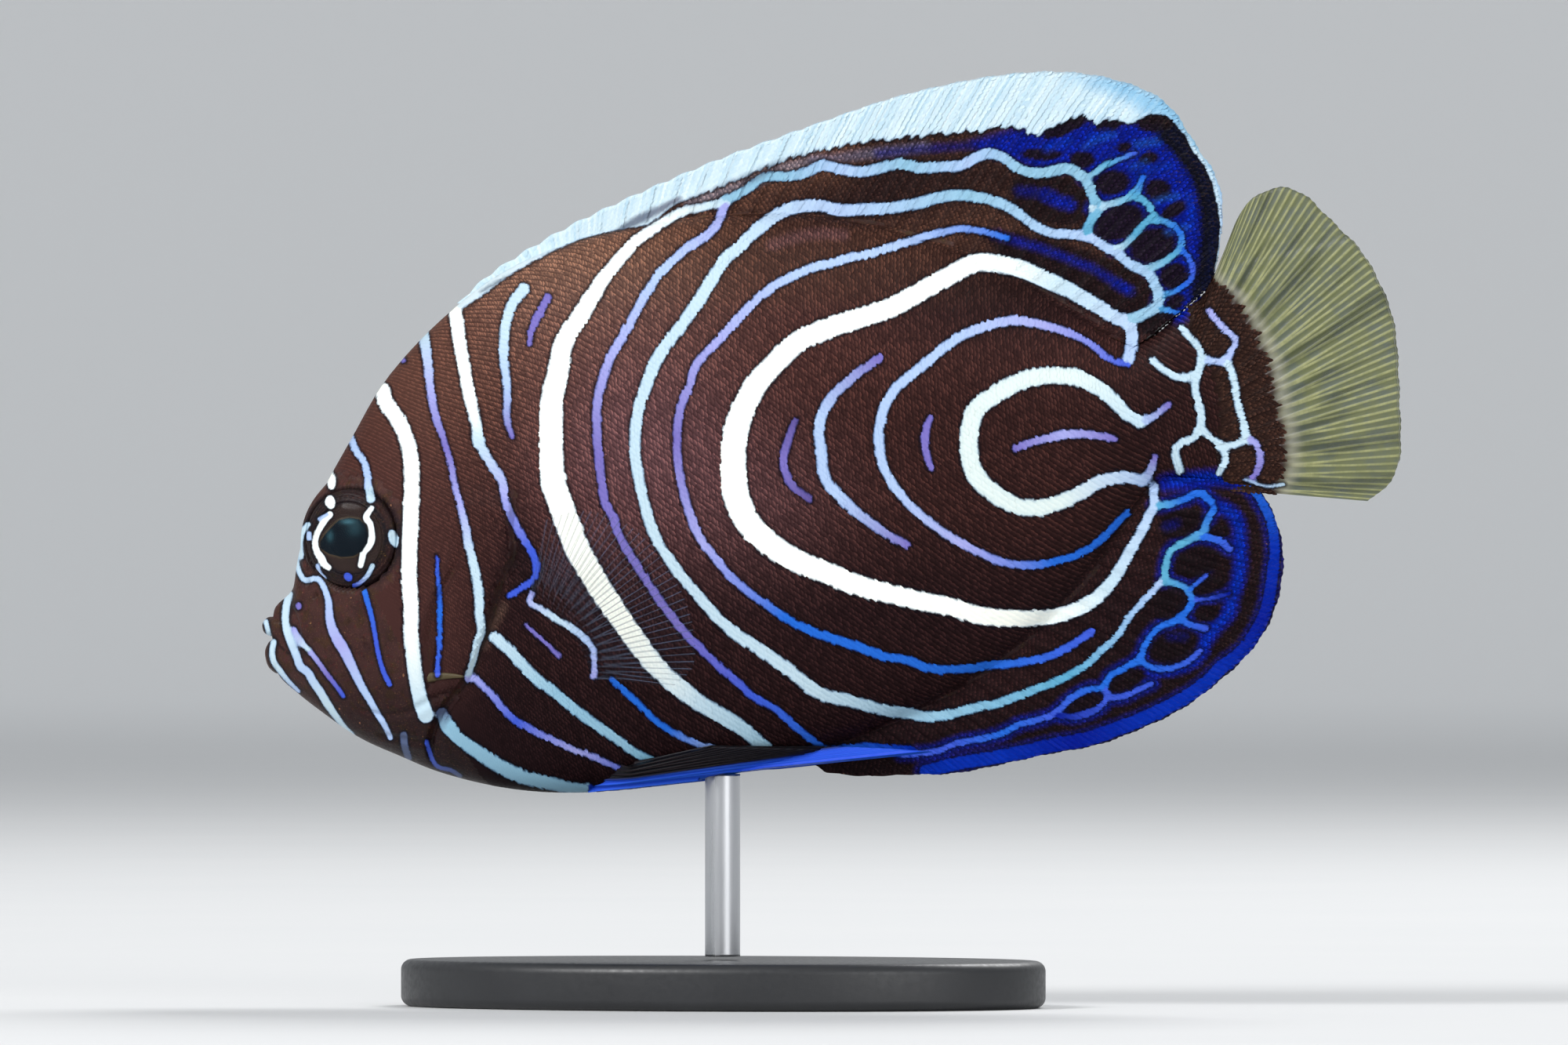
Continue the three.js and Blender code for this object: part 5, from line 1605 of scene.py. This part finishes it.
def clear_fin_material(name, membrane, ray_root, ray_tip, see, ray_see, thin, twigs, marked=False):
    """A film with rays. Its see and ray_see are how dense the film and the rays are, at root and edge."""
    nodes = Nodes(name)
    out = nodes.value("out")
    on_ray = nodes.times(branching(nodes, thin, twigs), nodes.ramp(out, 0.05, 0.6, 0.45, 0.85))
    joint = nodes.math("SINE", nodes.times(out, 260.0))
    rays = nodes.mix(nodes.ramp(out, 0.1, 0.5), ray_root, ray_tip)
    uneven = nodes.ramp(nodes.noise(0.9, 3), 0.3, 0.7)
    rays = nodes.mix(nodes.times(uneven, 0.5), rays, membrane)
    rays = nodes.mix(nodes.ramp(joint, 0.6, 1.0, 0.0, 0.15), rays, membrane)
    film = nodes.mix(nodes.ramp(nodes.noise(1.4, 3), 0.35, 0.7, 0.0, 0.4), membrane, "slate")
    colour = nodes.mix(on_ray, film, rays)
    bundle = nodes.add("TexNoise", {"noise_dimensions": "2D"}, Scale=1.0, Detail=2.0)
    along_fin = nodes.times(nodes.value("place"), 1.15)
    across = nodes.add("CombineXYZ", X=along_fin, Y=nodes.times(out, 1.3))
    nodes.put(bundle.inputs["Vector"], across.outputs[0])
    shaded = nodes.tinted(colour, 0.34, 0.37, 0.36)
    bundled = nodes.ramp(bundle.outputs["Fac"], 0.48, 0.68, 0.0, 0.75)
    deepest = nodes.times(bundled, nodes.ramp(out, 0.15, 0.5))
    colour = nodes.mix(deepest, colour, shaded)
    ray_alpha = nodes.times(on_ray, nodes.ramp(out, 0.0, 1.0, *ray_see))
    alpha = nodes.math("ADD", nodes.ramp(out, 0.0, 1.0, *see), ray_alpha, True)
    if marked:
        foot = nodes.ramp(nodes.value("flesh"), 1.7, 0.4, 0.0, 0.6)
        colour = nodes.mix(foot, colour, (0.3, 0.29, 0.235, 1))
        cover = nodes.ramp(nodes.value("flesh"), 0.6, -0.6)
        base = nodes.mix(cover, colour, nodes.colour("ground"))
        colour, inside = marked_colour(nodes, base, 1.2, 0.8)
        alpha = nodes.math("MAXIMUM", alpha, nodes.math("MAXIMUM", cover, inside), True)
    bump = nodes.bump(nodes.math("ADD", on_ray, nodes.noise(0.2, 2)), 0.04, 0.5)
    rough = nodes.ramp(on_ray, 0.0, 1.0, 0.35, 0.5)
    return nodes.surface(nodes.principled(Base_Color=colour, Roughness=rough, Alpha=alpha, Normal=bump,
                                          Specular_IOR_Level=0.25))


def pelvic_material():
    nodes = Nodes("pelvic_paint")
    share = nodes.value("share")
    streak = nodes.ramp(nodes.value("ray"), 0.2, 0.9)
    blue = nodes.mix(nodes.times(streak, 0.35), (0.012, 0.07, 0.6, 1), "azure")
    film = nodes.mix(nodes.times(streak, 0.4), "ink", "sepia")
    colour = nodes.mix(nodes.ramp(share, 0.32, 0.46), blue, film)
    rough = nodes.ramp(nodes.noise(0.4), 0.2, 0.8, 0.42, 0.6)
    return nodes.surface(nodes.principled(Base_Color=colour, Roughness=rough, Specular_IOR_Level=0.2))


def iris_material():
    nodes = Nodes("iris_paint")
    fibre = nodes.ramp(nodes.noise(0.12, 3), 0.3, 0.75)
    lit = nodes.tinted(nodes.colour("ground"), 1.7, 1.5, 1.4)
    ground = nodes.mix(fibre, nodes.colour("ground"), lit)
    colour, _ = marked_colour(nodes, ground, 0.5, 0.7, 0.6)
    rough = nodes.ramp(fibre, 0.0, 1.0, 0.5, 0.65)
    return nodes.surface(nodes.principled(Base_Color=colour, Roughness=rough, Specular_IOR_Level=0.08))


def cornea_material():
    nodes = Nodes("cornea_film")
    clear = nodes.add("BsdfTransparent")
    gloss = nodes.add("BsdfGlossy", Roughness=0.09)
    facing = nodes.add("Fresnel", IOR=1.34)
    veil = nodes.ramp(nodes.noise(1.5, 2), 0.3, 0.7, 0.9, 1.15)
    factor = nodes.times(facing.outputs[0], nodes.times(veil, 0.15), True)
    mix = nodes.add("MixShader")
    nodes.put(mix.inputs[0], factor)
    nodes.put(mix.inputs[1], clear.outputs[0])
    nodes.put(mix.inputs[2], gloss.outputs[0])
    return nodes.surface(mix.outputs[0])


def steel_material():
    nodes = Nodes("brushed_rod")
    place = nodes.add("TexCoord").outputs["Object"]
    stretched = nodes.add("Mapping", Vector=place)
    stretched.inputs["Scale"].default_value = (1500, 1500, 60)
    brush = nodes.add("TexNoise", Vector=stretched.outputs[0], Scale=1.0, Detail=4.0).outputs["Fac"]
    tone = nodes.mix(brush, (0.42, 0.43, 0.45, 1), (0.62, 0.63, 0.65, 1))
    rough = nodes.ramp(brush, 0.2, 0.8, 0.22, 0.4)
    bump = nodes.bump(brush, 0.02, 0.5)
    return nodes.surface(nodes.principled(Base_Color=tone, Metallic=1.0, Roughness=rough, Normal=bump))


def paint_material():
    nodes = Nodes("satin_base")
    peel = nodes.noise(0.5, 3)
    cloud = nodes.noise(9, 3)
    tone = nodes.mix(cloud, (0.012, 0.0125, 0.014, 1), (0.026, 0.027, 0.03, 1))
    rough = nodes.ramp(peel, 0.2, 0.8, 0.34, 0.5)
    bump = nodes.bump(peel, 0.03, 0.35)
    return nodes.surface(nodes.principled(Base_Color=tone, Roughness=rough, Normal=bump))


def turned(profile, columns, oval=False):
    """A closed solid turned about the row's upright axis in row millimetres, or drawn in to the base's
    oval."""
    turn = np.linspace(0, 2 * math.pi, columns, endpoint=False)
    ring = np.array(profile)
    points = np.stack([ring[:, :1] * np.cos(turn), ring[:, :1] * np.sin(turn),
                       np.repeat(ring[:, 1:], columns, 1)], -1)
    if oval:
        inset = BASE_LENGTH / 2 - ring[:, :1]
        points[..., 1] = (BASE_DEPTH / 2 - inset) * np.sin(turn)
    centres = np.array([[0, 0, ring[0, 1]], [0, 0, ring[-1, 1]]])
    return Shell(np.concatenate([points.reshape(-1, 3), centres]), capped_faces(len(ring), columns))


def make_stand():
    """The oval base and the rod, which ends under the belly where the solids' rod does."""
    half, bevel = BASE_LENGTH / 2, 0.9
    flat, top = half - bevel, BASE_THICKNESS - bevel
    profile = [[half * 0.6, 0], [flat, 0]]
    corner = np.linspace(0, math.pi / 2, 10)
    profile += [[flat + bevel * math.sin(a), bevel - bevel * math.cos(a)] for a in corner]
    profile += [[flat + bevel * math.cos(a), top + bevel * math.sin(a)] for a in corner]
    profile += [[half * 0.75, BASE_THICKNESS], [half * 0.6, BASE_THICKNESS]]
    base = turned(profile, 220, True)
    low, high = (np.array(corner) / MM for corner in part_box("stand_rod"))
    rod_profile = [[0.2, low[2]], [ROD_RADIUS, low[2]]]
    rod_profile += [[ROD_RADIUS, z] for z in np.linspace(low[2] + 0.2, high[2] - 0.2, 30)]
    rod_profile += [[ROD_RADIUS, high[2]], [0.2, high[2]]]
    rod = turned(rod_profile, 96)
    return base, rod


def make_stage():
    """A wide pale floor that curves up all round, far outside every view of the fish."""
    mesh = bpy.data.meshes.new("sweep")
    floor, bend, wall, columns, floor_rings = 3.3, 0.6, 1.5, 96, 30
    curve = np.linspace(0.05, math.pi / 2, 20)
    flat = np.linspace(0.05, floor, floor_rings)
    radius = np.concatenate([flat, floor + bend * np.sin(curve), [floor + bend]])
    height = np.concatenate([np.zeros(floor_rings), bend - bend * np.cos(curve), [wall]])
    turn = np.linspace(0, 2 * math.pi, columns, endpoint=False)
    ring = np.stack([radius[:, None] * np.cos(turn), radius[:, None] * np.sin(turn),
                     np.repeat(height[:, None], columns, axis=1)], axis=-1)
    points = np.concatenate([ring.reshape(-1, 3), [[0, 0, 0]]])
    middle_fan = fan(np.arange(columns), len(points) - 1)
    faces = np.concatenate([grid_faces(len(radius), columns, True)[:, ::-1], middle_fan])
    mesh.from_pydata(points, [], faces.tolist())
    mesh.polygons.foreach_set("use_smooth", [True] * len(faces))
    sweep = bpy.data.objects.new("sweep", mesh)
    bpy.context.scene.collection.objects.link(sweep)
    nodes = Nodes("pale_paper")
    near = nodes.mix(nodes.noise(60, 2), (0.60, 0.605, 0.61, 1), (0.63, 0.63, 0.63, 1))
    place = nodes.add("TexCoord").outputs["Object"]
    away = nodes.add("VectorMath", {"operation": "LENGTH"}, Vector=place).outputs["Value"]
    far = nodes.ramp(away, 0.8, 3.4)
    tone = nodes.mix(far, near, (0.95, 0.95, 0.95, 1))
    rough = nodes.ramp(nodes.noise(4), 0, 1, 0.8, 0.9)
    mesh.materials.append(nodes.surface(nodes.principled(Base_Color=tone, Roughness=rough)))


def light(name, place, size, power):
    """A round lamp at a place in metres, aimed at the middle of the fish."""
    lamp = bpy.data.lights.new(name, "AREA")
    lamp.shape = "DISK"
    lamp.size = size
    lamp.energy = power
    thing = bpy.data.objects.new(name, lamp)
    thing.location = place
    thing.rotation_euler = Vector(LIGHT_AIM - np.array(place)).to_track_quat("-Z", "Y").to_euler()
    bpy.context.scene.collection.objects.link(thing)


def make_camera():
    view = bpy.data.cameras.new("photo_view")
    view.sensor_width = SENSOR_WIDTH
    view.lens = SENSOR_WIDTH * CAMERA_DISTANCE / (PHOTO_WIDTH / PIXELS_PER_MM)
    view.clip_end = 20
    camera = bpy.data.objects.new("photo_view", view)
    back = np.array([math.sin(CAMERA_AZIMUTH), -math.cos(CAMERA_AZIMUTH), 0])
    camera.location = (CAMERA_TARGET + CAMERA_DISTANCE * back) * MM
    camera.rotation_euler = (math.pi / 2, 0, CAMERA_AZIMUTH)
    bpy.context.scene.collection.objects.link(camera)
    bpy.context.scene.camera = camera


make_camera()
make_stage()
light("key", (-0.55, -0.9, 0.75), 0.5, 12.5)
light("fill", (0.9, -0.9, 0.35), 0.9, 5)
light("rim", (0.25, 0.8, 0.9), 0.6, 9)
world = bpy.data.worlds.new("studio")
bpy.context.scene.world = world
world.use_nodes = True
background = world.node_tree.nodes["Background"]
background.inputs["Color"].default_value = (0.92, 0.96, 1.0, 1)
background.inputs["Strength"].default_value = 0.52
bpy.context.scene.view_settings.view_transform = "Standard"

skin_paint, scale_paint = skin_material(), scale_material()
piece("skin", make_skin(), skin_paint, "skin",
      ("head", "upper_lip", "lower_lip", "trunk", "tail_stalk", "gill_cover_left", "gill_cover_right"))
dorsal_shell = dorsal.shell(560, 40).coloured(markings)
piece("dorsal_lobe", dorsal_shell, skin_paint, "scaled_fin", ("dorsal_fin",))
anal_shell = anal.shell(420, 36).coloured(markings)
piece("anal_lobe", anal_shell, skin_paint, "scaled_fin", ("anal_fin",))

tail_shell = tail.shell(258, 70)
px, py = photo_pixels(tail_shell.points)
past_base = (px - tail_base_end(py)) / PIXELS_PER_MM
tail_shell.values["flesh"] = past_base - 0.35 * tail_shell.values["ray"]
tail_shell.coloured(tail_markings)
tail_film = clear_fin_material("tail_film", "olive", "straw", "straw", (0.92, 0.76), (0.08, 0.2), 1.0, 0.125,
                               marked=True)
piece("tail_fan", tail_shell, tail_film, "clear_fin", ("tail_fin",))

iris_shell, cornea_shell = make_eyes()
iris_paint, cornea_film = iris_material(), cornea_material()
pectoral_film = clear_fin_material("pectoral_film", "slate", "slate", "grey_blue", (0.02, 0.01), (0.5, 0.34),
                                   0.8, 0.0)
pelvic_paint = pelvic_material()
pectoral_shell = paired_fin(pectoral, 200, 60, 0.25)
pelvic_shell = paired_fin(pelvic, 90, 60)
for side in ("left", "right"):
    for name, shell, paint, slot, node in (
            ("iris", iris_shell, iris_paint, "eye", "eye"),
            ("cornea", cornea_shell, cornea_film, "eye", "eye"),
            ("pectoral_fan", pectoral_shell, pectoral_film, "clear_fin", "pectoral_fin"),
            ("pelvic_blade", pelvic_shell, pelvic_paint, "scaled_fin", "pelvic_fin")):
        piece(f"{name}_{side}", on_side(shell, side), paint, slot, (f"{node}_{side}",))

# The body's coat is split so that neither half is too large a piece
fore_coat, aft_coat = split(body_coat(7, SECTIONS[-1, 0], 1), 41.0)
dorsal_coat = fin_coat(dorsal, 0.34, 3, markings)
anal_coat = fin_coat(anal, 0.34, 4, markings)
tail_coat = fin_coat(tail, 0.36, 5, tail_markings, on_tail_base)
for side in ("left", "right"):
    for name, shell, slot in (
            ("fore_scales", fore_coat, "skin"),
            ("aft_scales", aft_coat, "skin"),
            ("dorsal_scales", dorsal_coat, "scaled_fin"),
            ("anal_scales", anal_coat, "scaled_fin"),
            ("tail_scales", tail_coat, "clear_fin")):
        piece(f"{name}_{side}", on_side(shell, side), scale_paint, slot, smooth=False)

base_shell, rod_shell = make_stand()
piece("stand_foot", base_shell, paint_material(), "stand_paint", ("stand_base",), in_fish=False)
piece("stand_post", rod_shell, steel_material(), "stand_steel", ("stand_rod",), in_fish=False)
